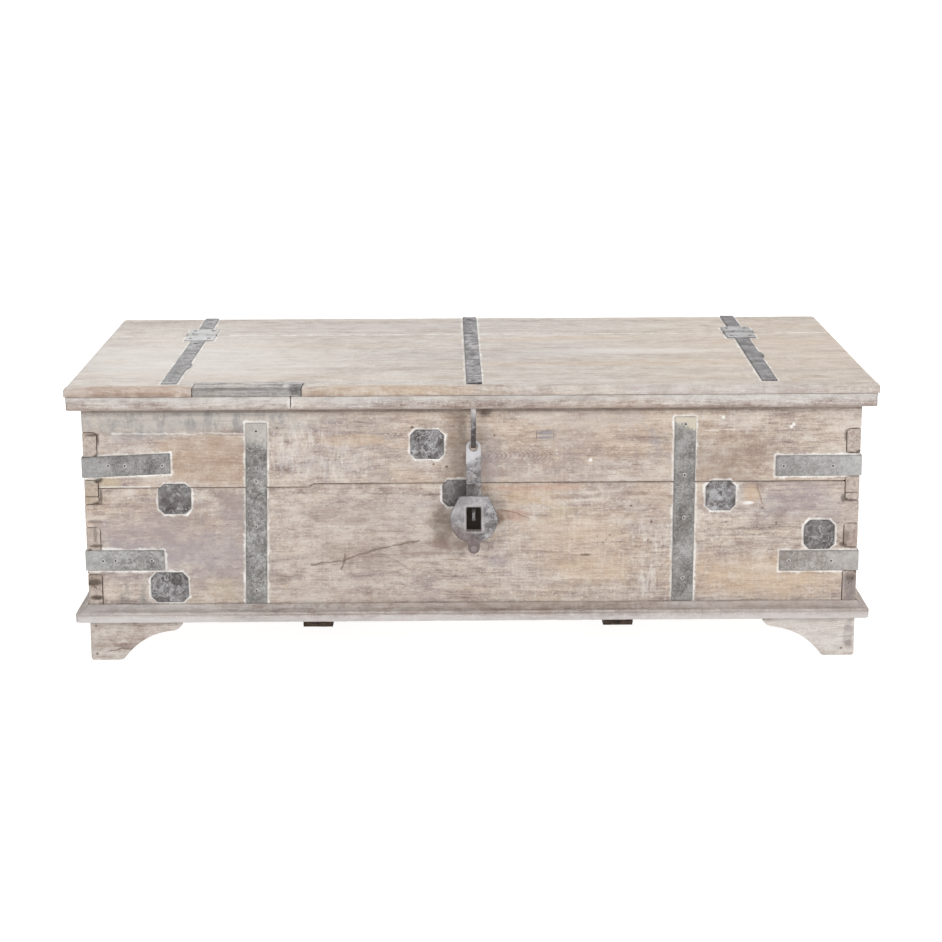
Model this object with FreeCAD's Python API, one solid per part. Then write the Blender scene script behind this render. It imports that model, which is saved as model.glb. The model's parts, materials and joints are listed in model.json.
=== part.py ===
import FreeCAD, Part
import math
import os

# A low wooden storage chest of reclaimed boards with forged iron trim.
# +Z is up, +X is to the right seen from the front, and the front faces -Y.
# The origin is on the floor under the middle of the chest. Units are millimetres.

os.makedirs("parts", exist_ok=True)
V = FreeCAD.Vector

# ---- Driving dimensions --------------------------------------------------------
LID_WIDTH = 1350.0
LID_DEPTH = 650.0
LID_TOP = 478.0            # top of the boards above the floor
TOP_THICKNESS = 15.0       # top boards and nosing
OVERHANG = 24.0            # of the top boards past the case, all round
FOOT_HEIGHT = 72.0
WALL = 24.0                # case boards
SEAM_GAP = 0.8             # between neighbouring boards
JOINT_GAP = 0.3            # round each finger of the corner joints

LIP_HEIGHT = 23.0          # moulding under the edge of the top
LIP_INSET = 3.0            # of its outer face from the edge of the top
LIP_CLEARANCE = 2.5        # between the lid's lip and the case
HINGE_LINE = 148.0         # Y of the line where the lid meets the fixed back plank
LID_GAP = 0.6              # from that line to the wood on either side
LID_SEAM = -93.0           # Y of the seam between the two lid planks
NOSING = 25.0              # width of the nosing along the front of the lid
LIP_BUTT = -300.0          # X where the two lengths of the front lip meet

BASE_PROJECTION = 20.0     # of the base moulding past the case
BASE_HEIGHT = 28.5
FRONT_SEAM = 302.0         # heights of the seams between upper and lower boards
SEAM_STEP = 5.5            # the front seam steps up by this much
SEAM_STEP_X = -270.0       # to the right of here
SIDE_SEAM = 288.0
BACK_SEAM = 296.0

FINGER_PITCH = 82.0
FINGER_HEIGHT = 42.0
FINGER_FIRST = 152.0       # top of the lowest finger of the side boards
FINGER_COUNT = 4

FLOOR_THICKNESS = 18.0
FLOOR_PLANKS = 3
BATTEN_WIDTH = 52.0
BATTEN_THICKNESS = 16.0
FLOOR_BATTENS = (-263.0, 247.0)
LID_BATTENS = (-450.0, 0.0, 450.0)
LID_BATTEN_WIDTH = 60.0
LID_BATTEN_THICKNESS = 18.0

FOOT_LENGTH = 160.0        # of each foot bracket along the case
FOOT_TOE = 56.0            # length of the bracket that stands on the floor
FOOT_THICKNESS = 20.0

IRON = 2.0                 # thickness of the straps, leaves and patch plates
WIDE_STRAP = 35.0
NARROW_STRAP = 26.0
HEAD_WIDTH = 54.0          # square head of each strap hinge
HEAD_LENGTH = 54.0
PIN_RADIUS = 2.0
PIN_FIT = 0.05             # radial clearance of the hinge pins
KNUCKLE_RADIUS = 4.0
KNUCKLE_GAP = 0.5
HEAD_EDGE = KNUCKLE_RADIUS + 1.2   # from the pin to the edge of a leaf's head
HINGES = {"left": -501.0, "right": 502.0}
CENTRE_STRAP = 1.0

NAIL_HEAD = 3.4
NAIL_SHANK = 1.2
NAIL_LENGTH = 14.0
BRAD_HEAD = 1.9

HASP_X = 2.0
HASP_PIVOT = 382.0         # height of the centre of the ring that the hasp hangs from
HASP_WIDTH = 25.0
HASP_THICKNESS = 5.0
HASP_PLATE_THICKNESS = 5.5
HASP_PLATE_Z = 250.0       # centre of the round of the plate
HASP_PLATE_RADIUS = 40.0
RING_RADIUS = 8.4
RING_THICKNESS = 3.0
RING_WIDTH = 9.0
EYE_RADIUS = 7.0           # hole at the top of the hasp
SLOT_WIDTH = 24.0
SLOT_BOTTOM = 231.0
SLOT_TOP = 272.0
KEEPER_WIRE = 3.0          # radius
KEEPER_SPAN = 9.0          # half the distance between its legs
KEEPER_Z = 257.5
KEEPER_REACH = 23.5        # from the front boards to its tip

# ---- Worked-out dimensions -----------------------------------------------------
HALF_W = LID_WIDTH / 2
HALF_D = LID_DEPTH / 2
CASE_X = HALF_W - OVERHANG
CASE_Y = HALF_D - OVERHANG
INNER_X = CASE_X - WALL
INNER_Y = CASE_Y - WALL
CASE_BOTTOM = FOOT_HEIGHT
CASE_TOP = LID_TOP - TOP_THICKNESS
LIP_BOTTOM = CASE_TOP - LIP_HEIGHT
LIP_X = HALF_W - LIP_INSET
LIP_Y = HALF_D - LIP_INSET
BASE_TOP = CASE_BOTTOM + BASE_HEIGHT
HINGE_Z = LID_TOP + 1.5    # the pin lies at the level of the iron on the top
LID_BACK = HINGE_LINE - LID_GAP
PLANK_FRONT = HINGE_LINE + LID_GAP
NOSING_BACK = -HALF_D + NOSING
HASP_Y = -CASE_Y - 14.0    # plane of the hasp bar, in front of the boards
HASP_FRONT = HASP_Y - HASP_THICKNESS / 2


# ---- Helpers -------------------------------------------------------------------
def box(x0, x1, y0, y1, z0, z1):
    return Part.makeBox(x1 - x0, y1 - y0, z1 - z0, V(x0, y0, z0))


def prism(points, direction):
    """A straight-sided solid: the closed outline of the points, pushed along direction."""
    return Part.Face(Part.makePolygon(points + points[:1])).extrude(direction)


def save(name, *solids):
    """Write one node, as one solid or as a group of separate solids."""
    shape = solids[0] if len(solids) == 1 else Part.makeCompound(list(solids))
    if not shape.isValid():
        raise ValueError(name + " isn't a valid shape")
    shape.exportStep("parts/" + name + ".step")


def cut_by(solid, tools):
    """Cut only the tools whose boxes meet the solid's box."""
    near = [tool for tool in tools if solid.BoundBox.intersect(tool.BoundBox)]
    return solid.cut(near) if near else solid


def mirror_x(shape):
    return shape.mirror(V(0, 0, 0), V(1, 0, 0))


def mirror_y(shape):
    return shape.mirror(V(0, 0, 0), V(0, 1, 0))


# ---- Nails ---------------------------------------------------------------------
def nail(point, outward, head=NAIL_HEAD):
    """A forged nail with a low conical head, driven in at point against outward."""
    head_height = head * 0.4
    cap = Part.makeCone(head, head * 0.45, head_height, point, outward)
    shank = Part.makeCylinder(NAIL_SHANK, NAIL_LENGTH, point, outward * -1)
    return cap.fuse(shank)


def front_nail(x, z, head=NAIL_HEAD):
    return nail(V(x, -CASE_Y - IRON, z), V(0, -1, 0), head)


def side_nail(side, y, z):
    return nail(V(side * (CASE_X + IRON), y, z), V(side, 0, 0))


def back_nail(x, z):
    return nail(V(x, CASE_Y + IRON, z), V(0, 1, 0))


def top_nail(x, y):
    return nail(V(x, y, LID_TOP + IRON), V(0, 0, 1))


# ---- Corner joints -------------------------------------------------------------
def finger_ranges():
    """Heights of the fingers of the side boards, and of the front and back boards."""
    tops = [FINGER_FIRST + FINGER_PITCH * i for i in range(FINGER_COUNT)]
    bottoms = [CASE_BOTTOM] + [top - FINGER_HEIGHT for top in tops[1:]]
    side = list(zip(bottoms, tops))
    front = list(zip(tops, bottoms[1:] + [CASE_TOP]))
    return side, front


def corner_columns(ranges):
    """Blocks in the four corners of the case at the given heights, with the joint gap."""
    blocks = []
    for low, high in ranges:
        bottom = low - (JOINT_GAP if low > CASE_BOTTOM else 1.0)
        top = high + (JOINT_GAP if high < CASE_TOP else 1.0)
        block = box(INNER_X - JOINT_GAP, CASE_X + 1, INNER_Y - JOINT_GAP, CASE_Y + 1, bottom, top)
        blocks += [block, mirror_x(block), mirror_y(block), mirror_x(mirror_y(block))]
    return blocks


def wall(x0, x1, y0, y1, seam, step, fingers, holes):
    """The lower and the upper board of one wall, whose seam may step up once."""
    lower = box(x0, x1, y0, y1, CASE_BOTTOM, seam)
    upper = box(x0, x1, y0, y1, seam + SEAM_GAP, CASE_TOP)
    if step:
        lower = lower.fuse(box(SEAM_STEP_X, x1, y0, y1, seam, seam + step)).removeSplitter()
        upper = upper.cut(box(SEAM_STEP_X - SEAM_GAP, x1, y0, y1, seam, seam + step + SEAM_GAP))
    return [cut_by(cut_by(board, fingers), holes) for board in (lower, upper)]


# ---- Iron on the front ---------------------------------------------------------
# Patch plates: centre X, centre Z, width, height.
PATCH_PLATES = {
    "patch_plate_left_upper": (-499.0, 283.5, 54.5, 52.0),
    "patch_plate_left_lower": (-512.5, 129.5, 63.0, 52.0),
    "patch_plate_centre": (-75.0, 375.5, 56.0, 50.0),
    "patch_plate_right_upper": (417.0, 284.0, 50.0, 51.0),
    "patch_plate_right_lower": (585.0, 215.0, 51.5, 50.5),
    "patch_plate_behind_hasp": (-24.0, 291.0, 52.0, 46.0),
}
PLATE_CORNER = 0.185       # size of a cut corner, as a share of the shorter side


def patch_plate(x, z, width, height):
    """An iron square with its corners cut off, nailed flat on the front boards."""
    corner = PLATE_CORNER * min(width, height)
    outline = []
    for angle in (45, 135, 225, 315):
        sx = math.copysign(1, math.cos(math.radians(angle)))
        sz = math.copysign(1, math.sin(math.radians(angle)))
        side = V(x + sx * width / 2, -CASE_Y, z + sz * (height / 2 - corner))
        end = V(x + sx * (width / 2 - corner), -CASE_Y, z + sz * height / 2)
        outline += [side, end] if sx * sz > 0 else [end, side]
    return prism(outline, V(0, -IRON, 0))


def plate_brads(x, z, width, height):
    inset = 9.0
    return [
        front_nail(x + sx * (width / 2 - inset), z + sz * (height / 2 - inset), BRAD_HEAD)
        for sx in (-1, 1)
        for sz in (-1, 1)
    ]


# Front straps: centre X at the foot, centre X at the head, height of the head, nail heights.
FRONT_STRAPS = {
    "front_strap_left": (-366.5, -359.5, 413.5, (400.0, 314.0, 235.5, 123.0)),
    "front_strap_right": (355.0, 356.0, 420.0, (408.0, 320.5, 246.5, 141.0)),
}


def front_strap(foot_x, head_x, head_z, nails):
    half = WIDE_STRAP / 2
    y = -CASE_Y
    outline = [
        V(foot_x - half, y, BASE_TOP),
        V(foot_x + half, y, BASE_TOP),
        V(head_x + half, y, head_z),
        V(head_x - half, y, head_z),
    ]
    lean = (head_x - foot_x) / (head_z - BASE_TOP)
    heads = [front_nail(foot_x + lean * (z - BASE_TOP), z) for z in nails]
    return prism(outline, V(0, -IRON, 0)), heads


# Corner straps at the front: side, centre Z, length on the front, nails from the corner.
CORNER_STRAPS = {
    "corner_strap_left_upper": (-1, 342.0, 146.0, (43.0, 70.5, 133.0)),
    "corner_strap_left_lower": (-1, 177.0, 131.0, (28.0, 49.0, 110.0)),
    "corner_strap_right_upper": (1, 335.0, 142.0, (47.0, 129.5)),
    "corner_strap_right_lower": (1, 169.5, 132.0, (45.0, 116.5)),
}
CORNER_RETURN = 140.0      # length of a corner strap on the side of the chest
RETURN_NAILS = (35.0, CORNER_RETURN - 20.0)


def corner_strap(side, z, length):
    """An iron band bent round a front corner, drawn on the right and mirrored."""
    low = z - WIDE_STRAP / 2
    high = z + WIDE_STRAP / 2
    front = box(CASE_X - length, CASE_X + IRON, -CASE_Y - IRON, -CASE_Y, low, high)
    along = box(CASE_X, CASE_X + IRON, -CASE_Y - IRON, -CASE_Y + CORNER_RETURN, low, high)
    band = front.fuse(along).removeSplitter()
    return band if side > 0 else mirror_x(band)


def corner_nails(side, z, nails):
    heads = [front_nail(side * (CASE_X - distance), z) for distance in nails]
    heads += [side_nail(side, -CASE_Y + distance, z) for distance in RETURN_NAILS]
    return heads


# ---- Hinges and straps on the top ----------------------------------------------
def top_strap(x_back, y_back, x_front, y_front):
    """A flat iron strap on the top, free to run a little askew."""
    half = NARROW_STRAP / 2
    outline = [
        V(x_back - half, y_back, LID_TOP),
        V(x_front - half, y_front, LID_TOP),
        V(x_front + half, y_front, LID_TOP),
        V(x_back + half, y_back, LID_TOP),
    ]
    return prism(outline, V(0, 0, IRON))


def knuckle(x, index):
    """One of the three knuckles, as a plain bar."""
    third = HEAD_WIDTH / 3
    start = x - HEAD_WIDTH / 2 + third * index + KNUCKLE_GAP / 2
    return Part.makeCylinder(
        KNUCKLE_RADIUS, third - KNUCKLE_GAP, V(start, HINGE_LINE, HINGE_Z), V(1, 0, 0)
    )


def tongue(x, index, towards):
    """The flat iron that joins a knuckle to its leaf."""
    third = HEAD_WIDTH / 3
    start = x - HEAD_WIDTH / 2 + third * index + KNUCKLE_GAP / 2
    ends = sorted((HINGE_LINE, HINGE_LINE + towards * HEAD_EDGE))
    return box(start, start + third - KNUCKLE_GAP, ends[0], ends[1], LID_TOP, LID_TOP + IRON)


def pin_bore(x):
    length = HEAD_WIDTH + 2 * KNUCKLE_RADIUS
    start = V(x - length / 2, HINGE_LINE, HINGE_Z)
    return Part.makeCylinder(PIN_RADIUS + PIN_FIT, length, start, V(1, 0, 0))


def rear_leaf(x):
    """The fixed leaf: two outer knuckles, a square head and a strap to the back edge."""
    half = HEAD_WIDTH / 2
    edge = HINGE_LINE + HEAD_EDGE
    leaf = box(x - half, x + half, edge, HINGE_LINE + HEAD_LENGTH, LID_TOP, LID_TOP + IRON)
    strap = top_strap(x, HALF_D - 2, x, HINGE_LINE + HEAD_LENGTH)
    parts = [strap, knuckle(x, 0), knuckle(x, 2), tongue(x, 0, 1), tongue(x, 2, 1)]
    return leaf.fuse(parts).removeSplitter().cut(pin_bore(x))


def front_leaf(x, skew, bulge_y):
    """The moving leaf: the middle knuckle, a square head and a long strap with a bulge."""
    half = HEAD_WIDTH / 2
    edge = HINGE_LINE - HEAD_EDGE
    head_end = HINGE_LINE - HEAD_LENGTH
    leaf = box(x - half, x + half, head_end, edge, LID_TOP, LID_TOP + IRON)
    strap = top_strap(x, head_end, x + skew, NOSING_BACK + 10)
    bulge_radius = 75.0
    bulge_reach = 3.5
    bulge_x = x + NARROW_STRAP / 2 + bulge_reach - bulge_radius
    bulge = Part.makeCylinder(bulge_radius, IRON, V(bulge_x, bulge_y, LID_TOP))
    keep = box(x, x + NARROW_STRAP, bulge_y - 30, bulge_y + 30, LID_TOP, LID_TOP + IRON)
    parts = [strap, bulge.common(keep), knuckle(x, 1), tongue(x, 1, -1)]
    return leaf.fuse(parts).removeSplitter().cut(pin_bore(x))


def hinge_pin(x):
    """A rivet-like pin with a low head at each end."""
    reach = HEAD_WIDTH / 2 + 0.4
    start = V(x - reach, HINGE_LINE, HINGE_Z)
    pin = Part.makeCylinder(PIN_RADIUS, 2 * reach, start, V(1, 0, 0))
    left = Part.makeCylinder(PIN_RADIUS + 1, 1.2, start, V(-1, 0, 0))
    right = Part.makeCylinder(PIN_RADIUS + 1, 1.2, V(x + reach, HINGE_LINE, HINGE_Z), V(1, 0, 0))
    return pin.fuse([left, right])


def knuckle_pocket(x):
    """The hollow in the boards that the knuckles lie in."""
    half_x = HEAD_WIDTH / 2 + 3
    half_y = KNUCKLE_RADIUS + 1.5
    bottom = LID_TOP - 6
    return box(x - half_x, x + half_x, HINGE_LINE - half_y, HINGE_LINE + half_y, bottom, LID_TOP + 1)


# ---- Mouldings -----------------------------------------------------------------
def mitred(bar, wide, deep):
    """Keep the part of a front moulding between the two 45-degree mitres."""
    reach = 60.0
    low = bar.BoundBox.ZMin - 1
    height = bar.BoundBox.ZLength + 2
    outline = [
        V(-wide, -deep, low),
        V(wide, -deep, low),
        V(wide - reach, -deep + reach, low),
        V(-wide + reach, -deep + reach, low),
    ]
    return bar.common(prism(outline, V(0, 0, height)))


def mitred_side(bar, wide, deep):
    """The same for the moulding along the right side."""
    reach = 60.0
    low = bar.BoundBox.ZMin - 1
    height = bar.BoundBox.ZLength + 2
    outline = [
        V(wide, -deep, low),
        V(wide, deep, low),
        V(wide - reach, deep - reach, low),
        V(wide - reach, -deep + reach, low),
    ]
    return bar.common(prism(outline, V(0, 0, height)))


def base_profile(place):
    """The base moulding's section: a square lower part, a small step and a cove."""
    step = BASE_PROJECTION - 2
    straight = 18.0
    arris = 4.0
    outer = CASE_BOTTOM + straight
    bottom_edges = Part.makePolygon([
        place(arris, BASE_TOP),
        place(0, BASE_TOP),
        place(0, CASE_BOTTOM),
        place(BASE_PROJECTION, CASE_BOTTOM),
        place(BASE_PROJECTION, outer),
        place(step, outer + 1),
    ])
    middle = place(arris + 3.5, outer + 4.5)
    cove = Part.Arc(place(step, outer + 1), middle, place(arris, BASE_TOP)).toShape()
    return Part.Face(Part.Wire(bottom_edges.Edges + [cove]))


def base_mouldings():
    wide = CASE_X + BASE_PROJECTION
    deep = CASE_Y + BASE_PROJECTION
    front_face = base_profile(lambda out, z: V(-wide, -CASE_Y - out, z))
    side_face = base_profile(lambda out, z: V(CASE_X + out, -deep, z))
    front = mitred(front_face.extrude(V(2 * wide, 0, 0)), wide, deep)
    right = mitred_side(side_face.extrude(V(0, 2 * deep, 0)), wide, deep)
    return front, right


# ---- Feet ----------------------------------------------------------------------
def foot_bracket(corner, along, inward):
    """A bracket from the corner of the case: a toe, a long curve and a small cove."""
    up = V(0, 0, 1)

    def at(u, z):
        return corner + along * u + up * z

    crown = at(FOOT_LENGTH - 20, 51)
    long_curve = Part.Arc(at(FOOT_TOE, 0), at(FOOT_TOE + 24, 27), crown).toShape()
    end_cove = Part.Arc(crown, at(FOOT_LENGTH - 6, 58), at(FOOT_LENGTH, 69)).toShape()
    rest = Part.makePolygon([
        at(FOOT_LENGTH, 69),
        at(FOOT_LENGTH, FOOT_HEIGHT),
        at(0, FOOT_HEIGHT),
        at(0, 0),
        at(FOOT_TOE, 0),
    ])
    outline = Part.Wire([long_curve, end_cove] + rest.Edges)
    return Part.Face(outline).extrude(inward * FOOT_THICKNESS)


def foot_set():
    """The front-right corner: front bracket, its return along the side, and the block."""
    front = foot_bracket(V(CASE_X, -CASE_Y, 0), V(-1, 0, 0), V(0, 1, 0))
    side = foot_bracket(V(CASE_X, -CASE_Y, 0), V(0, 1, 0), V(-1, 0, 0))
    behind = box(CASE_X - 200, CASE_X, -CASE_Y + FOOT_THICKNESS, 0, 0, FOOT_HEIGHT)
    side = side.common(behind)
    edge_x = CASE_X - FOOT_THICKNESS
    edge_y = -CASE_Y + FOOT_THICKNESS
    block_size = 34.0
    block = box(edge_x - block_size, edge_x, edge_y, edge_y + block_size, 8, FOOT_HEIGHT)
    return front, side, block


# ---- Hasp, ring and keeper -----------------------------------------------------
def hasp_bar():
    """A flat bar with a round eye at its top, welded behind the head of the plate."""
    half = HASP_WIDTH / 2
    eye_z = HASP_PIVOT - RING_RADIUS
    foot_z = SLOT_TOP + 2
    left = HASP_X - half
    right = HASP_X + half
    bar = box(left, right, HASP_FRONT, HASP_FRONT + HASP_THICKNESS, foot_z, eye_z)
    eye_back = V(HASP_X, HASP_FRONT, eye_z)
    top = Part.makeCylinder(half, HASP_THICKNESS, eye_back, V(0, 1, 0))
    hole = Part.makeCylinder(EYE_RADIUS, HASP_THICKNESS, eye_back, V(0, 1, 0))
    return bar.fuse(top).removeSplitter().cut(hole)


def hasp_plate():
    """A round plate with shoulders, a slot for the keeper and a finger tab below."""
    depth = HASP_PLATE_THICKNESS
    back = HASP_FRONT
    front = HASP_FRONT - depth
    top = HASP_PLATE_Z + HASP_PLATE_RADIUS + 1
    shoulder = HASP_PLATE_Z + 14
    tab_half = 10.0
    tab_bottom = HASP_PLATE_Z - HASP_PLATE_RADIUS - 9
    disc = Part.makeCylinder(
        HASP_PLATE_RADIUS, depth, V(HASP_X, front, HASP_PLATE_Z), V(0, 1, 0)
    )
    head = prism([
        V(HASP_X - 37.5, front, shoulder),
        V(HASP_X + 37.5, front, shoulder),
        V(HASP_X + 24, front, top),
        V(HASP_X - 24, front, top),
    ], V(0, depth, 0))
    tab = box(HASP_X - tab_half, HASP_X + tab_half, front, back, tab_bottom, HASP_PLATE_Z)
    tab_end = Part.makeCylinder(tab_half, depth, V(HASP_X, front, tab_bottom), V(0, 1, 0))
    plate = disc.fuse([head, tab, tab_end]).removeSplitter()
    slot_half = SLOT_WIDTH / 2
    slot = box(HASP_X - slot_half, HASP_X + slot_half, front, back, SLOT_BOTTOM, SLOT_TOP)
    dish_radius = 14.0
    dish = Part.makeSphere(dish_radius, V(HASP_X, front - dish_radius + 1.2, tab_bottom))
    return plate.cut([slot, dish])


def lid_staple():
    """An eye pin driven up into the lip: a flat ring below a doubled shank."""
    start = HASP_X - RING_WIDTH / 2
    centre = V(start, HASP_Y, HASP_PIVOT)
    outer = Part.makeCylinder(RING_RADIUS + RING_THICKNESS / 2, RING_WIDTH, centre, V(1, 0, 0))
    inner = Part.makeCylinder(RING_RADIUS - RING_THICKNESS / 2, RING_WIDTH, centre, V(1, 0, 0))
    shank_bottom = HASP_PIVOT + RING_RADIUS
    shank = box(
        start, start + RING_WIDTH,
        HASP_Y - RING_THICKNESS, HASP_Y + RING_THICKNESS,
        shank_bottom, LIP_BOTTOM + 14,
    )
    return outer.cut(inner).fuse(shank.cut(inner)).removeSplitter()


def keeper_staple():
    """A round-wire staple driven into the front boards, one leg above the other."""
    wire = KEEPER_WIRE
    bend_y = -CASE_Y - KEEPER_REACH + wire + KEEPER_SPAN
    embedded = -CASE_Y + 12
    legs = [
        Part.makeCylinder(wire, embedded - bend_y, V(HASP_X, bend_y, KEEPER_Z + dz), V(0, 1, 0))
        for dz in (-KEEPER_SPAN, KEEPER_SPAN)
    ]
    bend = Part.makeTorus(KEEPER_SPAN, wire, V(HASP_X, bend_y, KEEPER_Z), V(1, 0, 0))
    far = box(HASP_X - 20, HASP_X + 20, bend_y - 30, bend_y, KEEPER_Z - 30, KEEPER_Z + 30)
    return bend.common(far).fuse(legs).removeSplitter()


# ---- Build: iron first, because its nails and legs make holes in the boards -----
case_nails = []
for name, (x, z, width, height) in PATCH_PLATES.items():
    brads = plate_brads(x, z, width, height)
    case_nails += brads
    save(name, cut_by(patch_plate(x, z, width, height), brads))

for name, (foot_x, head_x, head_z, nails) in FRONT_STRAPS.items():
    strap, heads = front_strap(foot_x, head_x, head_z, nails)
    case_nails += heads
    save(name, cut_by(strap, heads))

for name, (side, z, length, nails) in CORNER_STRAPS.items():
    heads = corner_nails(side, z, nails)
    case_nails += heads
    save(name, cut_by(corner_strap(side, z, length), heads))

back_straps = []
for side in (-1, 1):
    for z in (336.0, 172.0):
        heads = [back_nail(side * (CASE_X - distance), z) for distance in (40.0, 120.0)]
        heads += [side_nail(side, CASE_Y - distance, z) for distance in RETURN_NAILS]
        case_nails += heads
        back_straps.append(cut_by(mirror_y(corner_strap(side, z, CORNER_RETURN)), heads))
save("corner_straps_back", *back_straps)

lid_nails = []
HEAD_NAIL_X = 17.0         # from the middle of a hinge head to its nails
HEAD_NAIL_Y = 38.0         # from the hinge line to the nails in the heads
BACK_EDGE_NAIL = HALF_D - 25
LEAF_SKEW = {"left": -3.5, "right": -5.0}
LEAF_BULGE = {"left": -140.0, "right": -69.0}
CENTRE_SKEW = 3.0          # sideways lean of the front centre strap over its length
for side, x in HINGES.items():
    skew = LEAF_SKEW[side]
    bulge_y = LEAF_BULGE[side]
    rear_heads = [top_nail(x, BACK_EDGE_NAIL)]
    front_heads = []
    for dx in (-HEAD_NAIL_X, HEAD_NAIL_X):
        rear_heads.append(top_nail(x + dx, HINGE_LINE + HEAD_NAIL_Y))
        front_heads.append(top_nail(x + dx, HINGE_LINE - HEAD_NAIL_Y))
    for y in (60.0, bulge_y - 60, NOSING_BACK + 28):
        share = (HINGE_LINE - y) / (HINGE_LINE - NOSING_BACK)
        front_heads.append(top_nail(x + skew * share, y))
    case_nails += rear_heads
    lid_nails += front_heads
    save("hinge_leaf_rear_" + side, cut_by(rear_leaf(x), rear_heads))
    save("hinge_leaf_front_" + side, cut_by(front_leaf(x, skew, bulge_y), front_heads))
save("hinge_pins", *[hinge_pin(x) for x in HINGES.values()])

rear_heads = [top_nail(CENTRE_STRAP, y) for y in (HINGE_LINE + 30, BACK_EDGE_NAIL)]
front_heads = [
    top_nail(CENTRE_STRAP + CENTRE_SKEW / 2, y)
    for y in (HINGE_LINE - 30, -60.0, NOSING_BACK + 20)
]
case_nails += rear_heads
lid_nails += front_heads
rear_strap = top_strap(CENTRE_STRAP - 1, HALF_D - 2, CENTRE_STRAP, PLANK_FRONT)
front_strap_end = CENTRE_STRAP + CENTRE_SKEW
front_strap_piece = top_strap(CENTRE_STRAP, LID_BACK, front_strap_end, NOSING_BACK)
save("centre_strap_rear", cut_by(rear_strap, rear_heads))
save("centre_strap_front", cut_by(front_strap_piece, front_heads))

save("case_nails", *case_nails)
save("lid_nails", *lid_nails)

keeper = keeper_staple()
staple = lid_staple()
save("keeper_staple", keeper)
save("lid_staple", staple)
save("hasp_bar", hasp_bar())
save("hasp_plate", hasp_plate())

# ---- Build: case ---------------------------------------------------------------
side_fingers, front_fingers = finger_ranges()
front_cuts = corner_columns(side_fingers)
side_cuts = corner_columns(front_fingers)
plug = box(109, 135, -CASE_Y - 0.5, -CASE_Y + 12, 382, 398)
save("front_plug", plug)
case_holes = case_nails + [keeper, plug]

WALLS = {
    "front": (-CASE_X, CASE_X, -CASE_Y, -INNER_Y, FRONT_SEAM, SEAM_STEP, front_cuts),
    "back": (-CASE_X, CASE_X, INNER_Y, CASE_Y, BACK_SEAM, 0, front_cuts),
    "left": (-CASE_X, -INNER_X, -CASE_Y, CASE_Y, SIDE_SEAM, 0, side_cuts),
    "right": (INNER_X, CASE_X, -CASE_Y, CASE_Y, SIDE_SEAM, 0, side_cuts),
}
for name, (x0, x1, y0, y1, seam, step, fingers) in WALLS.items():
    lower, upper = wall(x0, x1, y0, y1, seam, step, fingers, case_holes)
    save(name + "_board_lower", lower)
    save(name + "_board_upper", upper)

plank = 2 * INNER_Y / FLOOR_PLANKS
floor_top = CASE_BOTTOM + FLOOR_THICKNESS
planks = []
for i in range(FLOOR_PLANKS):
    y0 = -INNER_Y + plank * i + SEAM_GAP / 2
    planks.append(box(-INNER_X, INNER_X, y0, y0 + plank - SEAM_GAP, CASE_BOTTOM, floor_top))
save("floor_planks", *planks)

battens = [
    box(x - BATTEN_WIDTH / 2, x + BATTEN_WIDTH / 2, -CASE_Y + 2, CASE_Y - 2,
        CASE_BOTTOM - BATTEN_THICKNESS, CASE_BOTTOM)
    for x in FLOOR_BATTENS
]
save("floor_battens", *battens)

base_front, base_right = base_mouldings()
save("base_moulding_front", base_front)
save("base_moulding_back", mirror_y(base_front))
save("base_moulding_right", base_right)
save("base_moulding_left", mirror_x(base_right))

foot, foot_return, block = foot_set()
save("foot_front_right", foot)
save("foot_front_left", mirror_x(foot))
save("foot_back_right", mirror_y(foot))
save("foot_back_left", mirror_x(mirror_y(foot)))
for name, solid in (("foot_returns", foot_return), ("foot_blocks", block)):
    back = mirror_y(solid)
    save(name, solid, mirror_x(solid), back, mirror_x(back))

# ---- Build: fixed back plank and its lip ---------------------------------------
pockets = [knuckle_pocket(x) for x in HINGES.values()]
back_plank = box(-HALF_W, HALF_W, PLANK_FRONT, HALF_D, CASE_TOP, LID_TOP)
save("top_plank_back", cut_by(back_plank, pockets + case_nails))

rear_lip = box(-LIP_X, LIP_X, -LIP_Y, -CASE_Y, LIP_BOTTOM, CASE_TOP)
save("top_rim_back", mirror_y(mitred(rear_lip, LIP_X, LIP_Y)))
fixed_side = box(CASE_X, LIP_X, PLANK_FRONT, LIP_Y, LIP_BOTTOM, CASE_TOP)
fixed_side = mitred_side(fixed_side, LIP_X, LIP_Y)
save("top_rim_back_right", fixed_side)
save("top_rim_back_left", mirror_x(fixed_side))

# ---- Build: lid ----------------------------------------------------------------
half_gap = SEAM_GAP / 2
PATCH_LEFT = -462.0
PATCH_RIGHT = -282.0
PATCH_DEPTH = 50.0
edge_patch = box(PATCH_LEFT, PATCH_RIGHT, -HALF_D, -HALF_D + PATCH_DEPTH, CASE_TOP, LID_TOP)
patch_room = box(
    PATCH_LEFT - half_gap, PATCH_RIGHT + half_gap,
    -HALF_D - 1, -HALF_D + PATCH_DEPTH + half_gap, CASE_TOP - 1, LID_TOP + 1,
)
lid_tools = pockets + lid_nails + [patch_room]
plank_rear = box(-HALF_W, HALF_W, LID_SEAM + half_gap, LID_BACK, CASE_TOP, LID_TOP)
plank_front = box(-HALF_W, HALF_W, NOSING_BACK, LID_SEAM - half_gap, CASE_TOP, LID_TOP)
nosing = box(-HALF_W, HALF_W, -HALF_D, NOSING_BACK - half_gap, CASE_TOP, LID_TOP)
nosing_parts = cut_by(nosing, [patch_room]).Solids
save("lid_plank_rear", cut_by(plank_rear, lid_tools))
save("lid_plank_front", cut_by(plank_front, lid_tools))
save("lid_nosing", *nosing_parts)
save("lid_edge_patch", edge_patch)

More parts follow.
